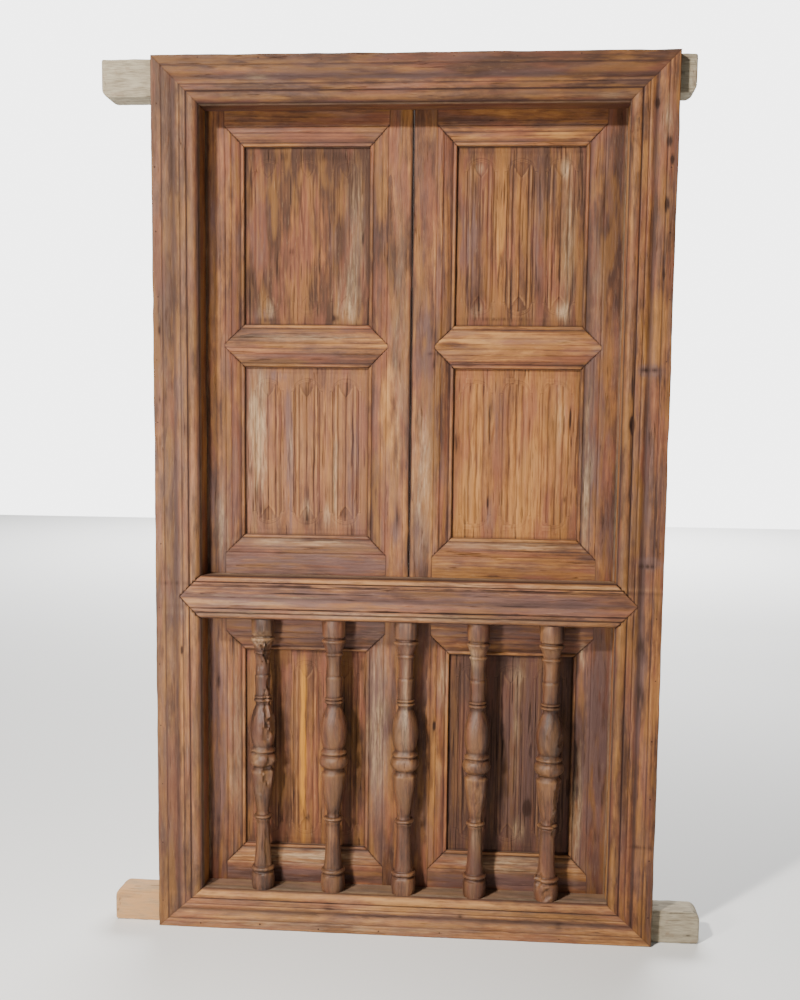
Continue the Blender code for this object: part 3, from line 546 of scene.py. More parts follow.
def moulding(members, start=0.0, step=1.2, soften=1):
    # Members follow each other: kind, width, depth at the end and, for a groove, its cut, in
    # millimetres. A line is straight, early falls as a quarter sine, late as one minus a
    # quarter cosine, cyma as half a cosine, and a groove adds half a sine to a line.
    across, depth = [0.0], [start]
    for kind, width, end, *cut in members:
        count = max(2, round(width / step))
        share = np.arange(1, count + 1) / count
        curve = {"early": np.sin(share * pi / 2), "late": 1 - np.cos(share * pi / 2),
                 "cyma": (1 - np.cos(share * pi)) / 2}.get(kind, share)
        fall = depth[-1] + (end - depth[-1]) * curve
        if cut:
            fall = fall + cut[0] * np.sin(share * pi) ** 0.8
        across += (across[-1] + width * share).tolist()
        depth += fall.tolist()
    across, depth = np.array(across) * mm, np.array(depth) * mm
    for _ in range(soften):
        depth[1:-1] = 0.2 * depth[:-2] + 0.6 * depth[1:-1] + 0.2 * depth[2:]
    return across, depth


def rowPlaces(start, end, step, extra=()):
    # Evenly spaced places with some more that must be there, in order.
    even = np.linspace(start, end, max(2, round(abs(end - start) / step)) + 1)
    inside = [place for place in extra if min(start, end) <= place <= max(start, end)]
    return np.unique(np.round(np.concatenate([even, inside]), 6))


def closedRing(corners, counts):
    # Evenly placed points along the sides of a closed ring: corner plus share times side. Each
    # corner is an array of one place per row.
    parts = []
    for start, end, count in zip(corners, corners[1:] + corners[:1], counts):
        share = np.arange(count)[:, None] / count
        parts.append(start[:, None] + share * (end - start)[:, None])
    return np.concatenate(parts, axis=1)


def quarterFall(distance, radius):
    # How far a quarter circle draws in at a distance from where it ends.
    share = np.clip(1 - distance / radius, 0, 1)
    return radius * (1 - np.sqrt(1 - share ** 2))


weatherNoises = {
    # height in millimetres, a cell's length and width in metres, layers, step of the seed
    "slow": (0.45, 0.16, 0.035, 3, 0), "ridges": (0.16, 0.05, 0.0035, 2, 5),
    "chips": (1.0, 0.030, 0.012, 3, 9), "panelSlow": (0.5, 0.20, 0.05, 3, 0),
    "panelRidges": (0.20, 0.06, 0.0032, 2, 5), "panelCracks": (1.0, 0.09, 0.0045, 2, 8),
}
chipDepth, crackDepth = 1.3, 0.7    # millimetres


def weatherNoise(kind, along, across, seed):
    # Height times layered noise over cells of the kind's own length and width.
    height, length, width, layers, step = weatherNoises[kind]
    return height * layeredNoise(along / length, across / width, seed + step, layers)


def weather(along, across, depth, seed, roughness):
    # The depth plus slow waves, ridges along the grain, and chips where a point stands proud
    # of those beside it.
    waves = weatherNoise("slow", along, across, seed) + weatherNoise("ridges", along, across, seed)
    proud = smoothStep((blurColumns(depth, 3) - depth) / mm, 0.10, 0.6)
    chips = smoothStep(weatherNoise("chips", along, across, seed), 0.22, 0.5) * proud * chipDepth
    return depth + roughness * (waves + chips) * mm


def ageFromRelief(depth, reach=4, fullWear=1.9, fullDirtAndShade=3.4):
    # What stands prouder than the mean round it is worn, what lies deeper gets dirt and painted shade.
    proud = (blurColumns(depth, reach) - depth) / mm
    return np.clip(proud / fullWear, 0, 0.8), np.clip(-proud / fullDirtAndShade, 0, 0.52)


def trimmedFront(frontAcross, frontDepth, low, high):
    # One profile for every row. Columns past a row's trimmed edges stay at the edge, and past
    # tells how far they lie beyond it, from 0 to 1.
    tiny = 1e-9
    lowColumn, highColumn = low[:, None], high[:, None]
    across = np.clip(frontAcross[None], lowColumn, highColumn)
    depth = np.interp(across, frontAcross, frontDepth)
    pastHigh = (frontAcross[None] - highColumn) / (frontAcross[-1] - highColumn + tiny)
    pastLow = (lowColumn - frontAcross[None]) / (lowColumn - frontAcross[0] + tiny)
    past = np.clip(np.maximum(pastHigh, pastLow), 0, 1)
    return across, depth, past


def jointEdge(frontAcross, across, low, high):
    # Distance to a trimmed edge, and far off where a row isn't trimmed.
    far = 1.0
    toHigh = np.where(high < frontAcross[-1] - 1e-6, high, far)[:, None] - across
    toLow = across - np.where(low > frontAcross[0] + 1e-6, low, -far)[:, None]
    return np.minimum(toHigh, toLow)


ageValues = {
    # joints and mitres: depth and width of their rounding, dirt and its width, millimetres
    "jointDeep": 0.7, "jointWide": 1.1, "jointGrime": 0.35, "jointGrimeWide": 1.0,
    # the walls past trimmed ends are darkened with dirt and painted shade
    "mitreDeep": 0.6, "mitreWide": 1.3, "mitreGrime": 0.42, "wallDirtAndShade": 0.8,
    # what stands over or lies under the ground within so many columns and millimetres; the tone over it
    # is a painted highlight and under it painted shade, and the dirt under it is partly painted shade
    "swellReach": 11, "swellDeep": 1.9, "overWear": 0.35, "reliefLightAndShade": 0.55, "underFilm": 0.5,
    "underDirtAndShade": 0.30, "backGrime": 0.15, "backRaw": 0.35, "wanderInto": 18.0,
}


def sweep(name, body, slotName, values, along, front, low, high, floorDepth, rest, place):
    # A profile carried along a straight grain. along holds the rows' places, front the profile
    # (across, depth), low and high its trimmed ends in each row, rest the ring's other points
    # (rows, points, 2), and place turns (along, across, depth) into x, y and z. Columns past a
    # trimmed end go evenly down to floorDepth.
    frontAcross, frontDepth = front
    seed, markName, level = values["seed"], values["marks"], values.get("level", False)
    rubbed, aged = values.get("rubbed", 1.0), ageValues
    across, shape, past = trimmedFront(frontAcross, frontDepth, low, high)
    rows = along[:, None] + 0 * across
    toJoint = np.abs(jointEdge(frontAcross, across, low, high))
    toMitre = np.minimum(along - along[0], along[-1] - along)[:, None]
    mitre = np.exp(-toMitre / (aged["mitreWide"] * mm)) * values.get("mitred", 0.0)
    shape = weather(rows, across, shape, seed, values["roughness"])
    joint = np.exp(-toJoint / (aged["jointWide"] * mm))
    shape = shape + (aged["jointDeep"] * joint + aged["mitreDeep"] * mitre) * mm
    wander = np.abs(layeredNoise(rows / 0.11, seed + 0 * across, seed))
    wander = wander * values.get("edgeWander", 0.0) * mm
    across = across + wander * np.clip(1 - across / (aged["wanderInto"] * mm), 0, 1)
    x, _, z = place(rows, across, shape)
    marks = allMarks(x, z, markName, level)
    shape = shape + marks["dent"] * mm
    depth = shape + (floorDepth - shape) * past
    # What stands over the wider ground is rubbed, warm and lighter with a painted highlight, what lies
    # under it filmed, darker in tone and dirty with painted shade.
    swell = (blurColumns(shape, aged["swellReach"]) - shape) / (aged["swellDeep"] * mm)
    swell = np.clip(swell, -1, 1) * (past <= 0)
    over, under = np.clip(swell, 0, 1), np.clip(-swell, 0, 1)
    wear, grime = ageFromRelief(shape)
    grime = grime + aged["mitreGrime"] * mitre + aged["underDirtAndShade"] * under
    # The walls past the trimmed ends are darkened: dirt and painted shade.
    grime = grime + np.clip(past * 20, 0, aged["wallDirtAndShade"])
    grime = grime + aged["jointGrime"] * np.exp(-toJoint / (aged["jointGrimeWide"] * mm))
    ages = {
        "wear": (wear * (past <= 0) + aged["overWear"] * over) * rubbed,
        "grime": grime + marks["grime"],
        "tone": marks["tone"] + values.get("tone", 0.0) + aged["reliefLightAndShade"] * np.minimum(swell, 0.4),
        "bloom": marks["bloom"] + values.get("bloom", 0.0) + aged["underFilm"] * under,
        "pale": marks["pale"] + values.get("pale", 0.0),
        "ochre": marks["ochre"],
        "raw": 0 * across,
    }
    extra = {"grime": aged["backGrime"], "raw": aged["backRaw"]}
    for key in ages:
        ages[key] = np.hstack([ages[key], np.full(rest.shape[:2], extra.get(key, 0.0))])
    ring = np.stack([np.hstack([rows, along[:, None] + 0 * rest[:, :, 0]]),
                     np.hstack([across, rest[:, :, 0]]), np.hstack([depth, rest[:, :, 1]])], axis=-1)
    points = np.stack(place(ring[..., 0], ring[..., 1], ring[..., 2]), axis=-1)
    shift = np.random.default_rng(seed).uniform([0, 0.02, 0.03], [40, 0.09, 0.10])
    grain = ring + [shift[0], -values.get("pith", shift[1]), shift[2]]
    faces = gridFaces(*ring.shape[:2])
    return addPiece(name, body, values["node"], slotName, points, faces, grain, ages)


# The frame's boards and the transom

boardBoxes = {side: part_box(f"board_{side}") for side in ("left", "right", "top", "bottom")}
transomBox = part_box("transom")
face = boardBoxes["left"][0].y
boardBack = boardBoxes["left"][1].y
halfWidth = boardBoxes["top"][1].x
halfOpening = boardBoxes["right"][0].x
headEdge = boardBoxes["top"][1].z
openingTop = boardBoxes["top"][0].z
sillTop = boardBoxes["bottom"][1].z
transomMiddle = (transomBox[0].z + transomBox[1].z) / 2
transomHalf = (transomBox[1].z - transomBox[0].z) / 2

boardMembers = (
    ("early", 2.2, 0.0), ("line", 20.8, 0.3), ("groove", 3.8, 1.3, 1.7), ("line", 2.4, 1.5),
    ("late", 20.8, 6.8), ("cyma", 15.2, 2.5), ("groove", 3.6, 2.6, 2.0), ("line", 11.6, 2.7),
    ("groove", 4.2, 2.9, 2.5), ("early", 6.9, 1.4), ("line", 4.0, 1.4), ("late", 13.8, 11.8),
)
boards = {
    # seed, how rough, tone, film and flakes all over, and how far the heart of the wood lies off
    "left": {"seed": 11, "roughness": 1.0, "tone": -0.95, "bloom": 0.2, "pale": 0.12, "pith": 0.03},
    "right": {"seed": 23, "roughness": 1.1, "tone": -0.4, "pith": 0.09},
    "top": {"seed": 31, "roughness": 0.9, "tone": -1.25, "bloom": 0.1, "pith": 0.05},
    "bottom": {"seed": 43, "roughness": 1.0, "tone": 0.65, "pale": 0.2, "pith": 0.06},
}
boardShared = {"marks": "frame", "edgeWander": 2.2, "mitred": 1.0, "rubbed": 0.75}


def makeBoard(side, values):
    # The profile runs along s, and a counts from the outer edge to the opening. On the upright
    # boards only the ends slant, over the mitre's own height, and the opening's edge follows
    # the transom's pointed end. On the level boards each row runs from mitre to mitre.
    upright = side in ("left", "right")
    values = dict(values, **boardShared, node=f"board_{side}", level=not upright)
    frontAcross, frontDepth = moulding(boardMembers, start=1.4)
    full = frontAcross[-1]
    thick = boardBack - face
    length = headEdge if upright else 2 * halfWidth
    places = [near for k in (1.3, 3.0) for near in (k * mm, length - k * mm)]
    if upright:
        sign = -1 if side == "left" else 1
        startCut, endCut = sillTop, headEdge - openingTop
        places += [transomMiddle - transomHalf, transomMiddle, transomMiddle + transomHalf]
        along = rowPlaces(0.0, length, 0.008, places)
        high = full - np.clip(transomHalf - np.abs(along - transomMiddle), 0, None)

        def place(s, a, d):
            part = np.clip(a / full, 0, 1)
            z = s + startCut * part * np.clip(1 - s / (2 * startCut), 0, 1)
            z = z - endCut * part * np.clip(1 - (length - s) / (2 * endCut), 0, 1)
            return sign * (halfWidth - a), face + d, z
    else:
        edgeZ, down = (headEdge, openingTop - headEdge) if side == "top" else (0.0, sillTop)
        along = rowPlaces(0.0, length, 0.008, places)
        high = np.full(len(along), full)

        def place(s, a, d):
            start = (halfWidth - halfOpening) * np.clip(a / full, 0, 1)
            x = start + (length - 2 * start) * s / length - halfWidth
            return x, face + d, edgeZ + down * a / full
    back = [(full, thick * 0.6), (full, thick), (0.05, thick), (0.0, thick), (0.0, thick * 0.5)]
    rest = np.repeat(np.array(back)[None], len(along), axis=0)
    rest[:, :2, 0] = np.minimum(rest[:, :2, 0], high[:, None])
    sweep(f"{side}_board", "frame", "old_pine", values, along, (frontAcross, frontDepth),
          np.zeros(len(along)), high, thick * 0.98, rest, place)


transomMembers = (
    ("early", 6.0, 1.4), ("line", 6.5, 1.2), ("groove", 4.0, 2.8, 4.2), ("line", 7.0, 2.6),
    ("groove", 3.0, 3.0, 3.2), ("cyma", 7.5, 4.6), ("late", 18.0, 7.6),
)
transomValues = {
    "seed": 57, "roughness": 1.3, "tone": 0.3, "bloom": 0.40, "pith": 0.02, "rubbed": 0.45,
    "marks": "frame", "level": True, "node": "transom", "gap": 0.3,
}


def makeTransom():
    # Half the profile and its mirror image run along x, and draw to a point at both ends.
    across, depth = moulding(transomMembers, start=11.0)
    across = across * transomHalf / across[-1]
    frontAcross = np.concatenate([across, 2 * transomHalf - across[-2::-1]])
    frontDepth = np.concatenate([depth, depth[-2::-1]])
    gap = transomValues["gap"] * mm
    tip, shelf, thick = transomBox[1].x, transomBox[1].y - face, boardBack - face
    cut = halfOpening - gap
    ends = rowPlaces(cut, tip - gap, 0.003)
    step = 0.05 * mm
    along = np.concatenate([-ends, rowPlaces(-cut, cut, 0.005), ends, [-cut - step, cut + step]])
    along = np.unique(np.round(along, 6))
    reach = np.clip(tip - np.abs(along), 0.0, transomHalf)
    low, high = transomHalf - reach, transomHalf + reach
    depthBack = np.where(np.abs(along) <= cut, shelf, thick)
    rest = np.stack([np.stack([edge, depthBack * share], axis=-1)
                     for edge, share in ((high, 0.7), (high, 1.0), (low, 1.0), (low, 0.7))], axis=1)

    def place(s, a, d):
        return s, face + d, transomMiddle - transomHalf + a
    sweep("transom_rail", "frame", "old_pine", transomValues, along, (frontAcross, frontDepth),
          low, high, thick * 0.6, rest, place)


nailValues = {
    "radius": 2.6, "height": 1.1, "sunk": 0.9, "every": 0.148, "inset": 11.5, "wander": 4.5,
    "sides": 8, "seed": 67,
}


def makeNails():
    # Small domes: rings whose radius is the sine and whose height is the cosine of the tilt.
    values = nailValues
    dice = np.random.default_rng(values["seed"])
    inset = values["inset"] * mm
    middles = []
    for sign in (-1, 1):
        for z in np.arange(0.07, headEdge - 0.03, values["every"]):
            middles.append((sign * (halfWidth - inset), z))
        for x in np.arange(-0.50, 0.51, values["every"]):
            middles.append((x, headEdge - inset if sign > 0 else inset))
    middles = np.array(middles) + dice.uniform(-1, 1, (len(middles), 2)) * values["wander"] * mm
    tilts = np.array([0.0, 0.45, 0.8, 1.0]) * pi / 2
    turns = np.arange(values["sides"]) * 2 * pi / values["sides"]
    radius = values["radius"] * mm * dice.uniform(0.75, 1.2, len(middles))[:, None, None]
    x = middles[:, 0, None, None] + radius * np.sin(tilts)[None, :, None] * np.cos(turns)
    z = middles[:, 1, None, None] + radius * np.sin(tilts)[None, :, None] * np.sin(turns)
    y = face + values["sunk"] * mm - values["height"] * mm * np.cos(tilts)[None, :, None] + 0 * x
    points = np.stack([x, y, z], axis=-1)
    one = np.array(gridFaces(len(tilts), values["sides"], caps=False))
    base = list(range((len(tilts) - 1) * values["sides"], len(tilts) * values["sides"]))
    faces = []
    for k in range(len(middles)):
        shift = k * len(tilts) * values["sides"]
        faces += (one + shift).tolist() + [[index + shift for index in reversed(base)]]
    ages = {"grime": 0.95 + 0 * x}
    addPiece("board_nails", "frame", None, "old_pine", points, faces, points + 5.0, ages)


for side, values in boards.items():
    makeBoard(side, values)
makeTransom()
makeNails()
print("the moulded boards and the transom are made")


# Jambs, head and sill

leafLow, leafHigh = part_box("left_stile_meeting")
rebateValues = {"front": 1.0, "side": 1.5, "ends": 2.0}    # room round the leaves, millimetres
stopY = leafLow.y - rebateValues["front"] * mm
jambAges = {
    # on the reveal, and on the rest
    "raw": (0.0, 0.75), "grime": (0.05, 0.12), "tone": (1.2, -0.3),
}


def rebateEdge(side):
    low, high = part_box(f"{side}_stile_hanging")
    return (high.x if side == "right" else -low.x) + rebateValues["side"] * mm


def makeJamb(side):
    # A ring of six corners carried straight up, its outer and inner face a little uneven.
    sign = -1 if side == "left" else 1
    low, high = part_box(f"jamb_{side}")
    rebate = rebateEdge(side)
    corners = [(halfOpening, low.y), (halfOpening, stopY), (rebate, stopY), (rebate, high.y),
               (halfWidth, high.y), (halfWidth, low.y)]
    counts = [max(1, round(max(abs(x1 - x0), abs(y1 - y0)) / 0.009))
              for (x0, y0), (x1, y1) in zip(corners, corners[1:] + corners[:1])]
    ring = closedRing([np.array([corner]) for corner in corners], counts)
    s = rowPlaces(low.z, high.z, 0.018)[:, None] + 0 * ring[:, :, 0]
    x, y = ring[:, :, 0] + 0 * s, ring[:, :, 1] + 0 * s
    reveal, outer = x < halfOpening + 1 * mm, x > halfWidth - 1 * mm
    rough = np.abs(0.5 * mm * layeredNoise(s / 0.10, (x + y) / 0.02, 71 + sign))
    x = x + rough * reveal - rough * outer
    ages = {key: np.where(reveal, *pair) for key, pair in jambAges.items()}
    points = np.stack([sign * x, y, s], axis=-1)
    grain = np.stack([s + 3.1 + sign, x - 0.45, y + 0.12], axis=-1)
    faces = gridFaces(*x.shape)
    addPiece(f"{side}_jamb", "frame", f"jamb_{side}", "old_pine", points, faces, grain, ages)


timbers = {
    # the horns' height, radii of their rounded ends and arrises, seed, how warm the left horn is
    "head": {"hornHigh": 0.088, "round": 0.020, "arris": 0.005, "seed": 81, "warm": 0.0},
    "sill": {"hornHigh": 0.082, "round": 0.022, "arris": 0.007, "seed": 92, "warm": 1.0},
}
hornDeep = 0.072


def makeTimber(name, values):
    # A ring of six corners carried along x. In the horns it has no rebate, it is lower and less
    # deep, and it draws in round the end as a quarter circle.
    low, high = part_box(name)
    top, seed = name == "head", values["seed"]
    sign = 1 if top else -1
    rebateX = rebateEdge("right")
    step = 0.05 * mm
    curve = values["round"] * (1 - np.cos(np.linspace(0, pi / 2, 9)))
    edges = [-halfWidth - step, -halfWidth, -rebateX - step, -rebateX, rebateX, rebateX + step,
             halfWidth, halfWidth + step]
    extra = (edges, low.x + curve, high.x - curve, np.arange(low.x, -halfWidth, 0.005),
             np.arange(halfWidth, high.x, 0.005))
    along = rowPlaces(low.x, high.x, 0.014, np.concatenate(extra))
    horn = np.abs(along) > halfWidth + step / 2
    rebated = np.abs(along) <= rebateX
    toEnd = np.minimum(along - low.x, high.x - along)
    drawn, arris = quarterFall(toEnd, values["round"]), quarterFall(toEnd, values["arris"])
    inner, flush = (low.z, high.z) if top else (high.z, low.z)
    innerZ = np.where(horn, flush - sign * (values["hornHigh"] - drawn), inner)
    flushZ = flush - sign * arris
    frontY = low.y + 0.6 * arris
    backY = np.where(horn, low.y + hornDeep, high.y) - 0.6 * arris
    room = rebateValues["ends"] * mm
    rebateZ = np.where(rebated, leafHigh.z + room if top else leafLow.z - room, innerZ)
    rebateY = np.where(rebated, stopY, (frontY + backY) / 2)
    corners = [(frontY, flushZ), (frontY, innerZ), (rebateY, innerZ), (rebateY, rebateZ),
               (backY, rebateZ), (backY, flushZ)]
    ring = closedRing([np.stack(corner, axis=-1) for corner in corners], (12, 8, 2, 6, 12, 12))
    y, z = ring[:, :, 0], ring[:, :, 1]
    x = along[:, None] + 0 * y
    # Hewn faces: the ring shrinks unevenly towards its middle, more so at its corners.
    midY, midZ = (frontY + backY)[:, None] / 2, (flushZ + innerZ)[:, None] / 2
    fromY = np.abs(y - midY) / ((backY - frontY)[:, None] / 2)
    fromZ = np.abs(z - midZ) / (np.abs(flushZ - innerZ)[:, None] / 2)
    corner = smoothStep(fromY * fromZ, 0.72, 1.0)
    hewn = (1.1 + layeredNoise(x / 0.035, (y + 2 * z) / 0.03, seed)) * 0.4 * mm
    hewn = hewn + corner * (0.9 + 0.8 * layeredNoise(x / 0.02, (y - z) / 0.05, seed + 3)) * mm
    groove = smoothStep(layeredNoise(x / 0.10, (y + z) / 0.004, seed + 6), 0.35, 0.6) * 0.8 * mm
    horn = horn[:, None]
    pull = np.where(horn, hewn + groove, 0.15 * mm)
    y = y - np.sign(y - midY) * pull * smoothStep(fromY, 0.85, 0.999)
    z = z - np.sign(z - midZ) * pull * smoothStep(fromZ, 0.85, 0.999)
    # The soffit in the reveal is finished wood, and the sill's is greyer. The head's soffit is darker
    # than the sill's: dirt and painted shade under the head.
    soffit = ~horn & (y < stopY + 1 * mm) & (np.abs(z - inner) < 3 * mm)
    bleached = 0.25 * (layeredNoise(x / 0.05, z / 0.02, seed + 8) > 0.3)
    ages = {
        "raw": np.where(soffit, 0.0 if top else 0.25, 1.0 - horn * bleached),
        "grime": np.where(soffit, 0.30 if top else 0.12, 0.05 + 0.5 * horn * (groove > 0.4 * mm)),
        "tone": np.where(soffit, -0.25, np.where(x < -halfWidth, values["warm"], 0.0)),
        "bloom": np.where(soffit, 0.25, 0.0),
    }
    points = np.stack([x, y, z], axis=-1)
    grain = np.stack([x + seed, z - 0.9, y + 0.2], axis=-1)
    addPiece(f"{name}_timber", "frame", name, "raw_pine", points, gridFaces(*x.shape), grain, ages)


for side in ("left", "right"):
    makeJamb(side)
for name, values in timbers.items():
    makeTimber(name, values)
print("the jambs, the head and the sill are made")


# Shutter leaves

leafMembers = (
    ("groove", 2.6, 0.3, 1.5), ("line", 11.0, 0.5), ("early", 2.2, 3.0), ("late", 20.0, 8.8),
    ("groove", 2.6, 8.4, 1.5), ("early", 1.6, 7.6), ("line", 4.0, 7.6), ("late", 2.5, 12.5),
)
leafValues = {
    "mouldingWidth": 0.0465, "shoulderDepth": 0.014, "grooveFront": 0.016, "grooveBack": 0.0266,
    "grooveDepth": 0.0083, "heelSteps": 10, "closer": 0.0007,
}
leafShared = {"marks": "leaf", "rubbed": 0.28}
railNames = ("top", "middle", "lock", "bottom")


def leafMoulding():
    # The drawn moulding, fitted to the width that it has on the solids.
    across, depth = moulding(leafMembers)
    return across * leafValues["mouldingWidth"] / across[-1], depth


def leafRails(label):
    # Each rail's name, its bottom and the bottom and top of its flat, from its box.
    width = leafValues["mouldingWidth"]
    rails = []
    for name in railNames:
        low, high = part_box(f"{label}_rail_{name}")
        flatLow = low.z + (width if name != "bottom" else 0.0)
        flatHigh = high.z - (width if name != "top" else 0.0)
        rails.append((name, low.z, flatLow, flatHigh))
    return rails


def makeStile(label, kind, values):
    # The profile runs up z, and a counts from the outer side to the panels. Beside a rail the
    # moulding is cut off at 45 degrees. The hanging stile's outer side is a half circle.
    sign = -1 if label == "left" else 1
    hanging = kind == "hanging"
    low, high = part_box(f"{label}_stile_{kind}")
    bottom, top = (corner.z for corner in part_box(f"{label}_stile_meeting"))
    thick, width = high.y - low.y, high.x - low.x
    nearX, farX = sorted((abs(low.x), abs(high.x)))
    moulded = leafValues["mouldingWidth"]
    mouldAcross, mouldDepth = leafMoulding()
    flat = width - moulded
    radius = thick / 2 if hanging else 0.0
    count = max(4, round((flat - radius) / 0.004))
    flatAcross = np.linspace(radius, flat, count, endpoint=False)
    flatDepth = 0 * flatAcross if hanging else 1.6 * mm * np.exp(-flatAcross / (1.2 * mm))
    frontAcross = np.concatenate([flatAcross, flat + mouldAcross])
    frontDepth = np.concatenate([flatDepth, mouldDepth])
    railRows = leafRails(label)
    mitres = [edge + k * moulded / 8 for _, _, flatLow, flatHigh in railRows
              for edge, steps in ((flatLow, range(-8, 1)), (flatHigh, range(9))) for k in steps]
    along = rowPlaces(bottom, top, 0.0092, mitres)
    toRail = np.min([np.clip(np.maximum(flatLow - along, along - flatHigh), 0, None)
                     for _, _, flatLow, flatHigh in railRows], axis=0)
    front, behind, inward = (leafValues[key] for key in ("grooveFront", "grooveBack", "grooveDepth"))
    bevel = 0.8 * mm
    back = [(width, front), (width - inward, front), (width - inward, behind), (width, behind),
            (width, thick - bevel), (width - bevel, thick), (width * 0.6, thick)]
    if hanging:
        turns = np.linspace(0, pi, leafValues["heelSteps"] + 1)[:-1]
        back += [(radius * (1 - sin(turn)), radius * (1 + cos(turn))) for turn in turns]
    else:
        back += [(bevel, thick), (0.0, thick - bevel), (0.0, thick / 2)]
    rest = np.repeat(np.array(back)[None], len(along), axis=0)

    def place(s, a, d):
        x = farX - a if hanging else nearX - leafValues["closer"] * (1 - a / width) + a
        return sign * x, low.y + d, s
    values = dict(values, **leafShared, node=f"{label}_stile_{kind}")
    sweep(f"{label}_{kind}_stile", f"leaf_{label}", "old_pine", values, along, (frontAcross, frontDepth),
          np.full(len(along), radius), flat + np.minimum(toRail, moulded), leafValues["shoulderDepth"],
          rest, place)


def makeRail(label, rail, values):
    # The profile runs along x, and a counts upwards. A moulding lies on each side that has a
    # panel, and both ends are cut off at 45 degrees over the moulding's width.
    name, bottom, flatLow, flatHigh = rail
    sign = -1 if label == "left" else 1
    hasLower, hasUpper = name != "bottom", name != "top"
    low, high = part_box(f"{label}_rail_{name}")
    thick = high.y - low.y
    moulded, inward = leafValues["mouldingWidth"], leafValues["grooveDepth"]
    nearX, farX = sorted((abs(low.x), abs(high.x)))
    mouldAcross, mouldDepth = leafMoulding()
    start, flat = moulded * hasLower, flatHigh - flatLow
    inner = np.linspace(start, start + flat, max(3, round(flat / 0.004)))
    inner = inner[int(hasLower):len(inner) - int(hasUpper)]
    frontAcross, frontDepth = inner, 0 * inner
    if hasLower:
        frontAcross = np.concatenate([moulded - mouldAcross[::-1], frontAcross])
        frontDepth = np.concatenate([mouldDepth[::-1], frontDepth])
    if hasUpper:
        frontAcross = np.concatenate([frontAcross, start + flat + mouldAcross])
        frontDepth = np.concatenate([frontDepth, mouldDepth])
    step = 0.05 * mm
    near = np.append(np.arange(11) * moulded / 10, moulded - step)
    along = rowPlaces(nearX, farX, 0.0055, np.concatenate([nearX + near, farX - near]))
    inset = np.minimum(along - nearX, farX - along)
    slope = np.clip(inset, 0, moulded)
    lowEdge, highEdge = start - slope * hasLower, start + flat + slope * hasUpper
    deep = inset >= moulded - step / 2
    shoulder = leafValues["shoulderDepth"] - 0.3 * mm
    backDepth = np.where(deep, thick, shoulder)
    # The back: the upper groove, the flat back and the lower groove, which mirrors the upper.
    upper, lower = [], []
    for key, cut in (("grooveFront", 0), ("grooveFront", 1), ("grooveBack", 1), ("grooveBack", 0)):
        level = np.minimum(leafValues[key], backDepth)
        upper.append((highEdge - cut * inward * hasUpper * deep, level))
        lower.append((lowEdge + cut * inward * hasLower * deep, level))
    middle = [(edge, backDepth) for edge in (highEdge, (highEdge + lowEdge) / 2, lowEdge)]
    rest = np.stack([np.stack(pair, axis=-1) for pair in upper + middle + lower[::-1]], axis=1)

    def place(s, a, d):
        return sign * s, low.y + d, bottom + a
    values = dict(values, **leafShared, node=f"{label}_rail_{name}", level=True)
    sweep(f"{label}_{name}_rail", f"leaf_{label}", "old_pine", values, along, (frontAcross, frontDepth),
          lowEdge, highEdge, shoulder, rest, place)


stiles = {
    # seed, how rough, tone and film all over, and how far the heart of the wood lies off
    ("left", "hanging"): {"seed": 101, "roughness": 1.0, "tone": 0.2, "bloom": 0.12, "pith": -0.02},
    ("left", "meeting"): {"seed": 113, "roughness": 0.9, "tone": -0.1, "bloom": 0.05, "pith": 0.05},
    ("right", "meeting"): {"seed": 127, "roughness": 1.0, "tone": -0.05, "bloom": 0.12, "pith": 0.03},
    ("right", "hanging"): {"seed": 131, "roughness": 1.1, "tone": -0.45, "bloom": 0.05, "pith": 0.04},
}
rails = {
    ("left", "top"): {"seed": 141, "roughness": 0.8, "tone": 0.15, "bloom": 0.15},
    ("left", "middle"): {"seed": 143, "roughness": 0.8, "tone": 0.20, "bloom": 0.05},
    ("left", "lock"): {"seed": 149, "roughness": 0.9, "tone": -0.05, "bloom": 0.35},
    ("left", "bottom"): {"seed": 151, "roughness": 1.0, "tone": 0.15, "bloom": 0.10},
    ("right", "top"): {"seed": 157, "roughness": 0.8, "tone": 0.25},
    ("right", "middle"): {"seed": 161, "roughness": 0.8, "tone": 0.45},
    ("right", "lock"): {"seed": 163, "roughness": 0.8, "tone": 0.35, "bloom": 0.05},
    ("right", "bottom"): {"seed": 167, "roughness": 1.0, "tone": 0.10, "bloom": 0.10},
}
for (label, kind), values in stiles.items():
    makeStile(label, kind, values)
for (label, name), values in rails.items():
    makeRail(label, leafRails(label)[railNames.index(name)], values)
print("the leaves' stiles and rails are made")


# Carved panels

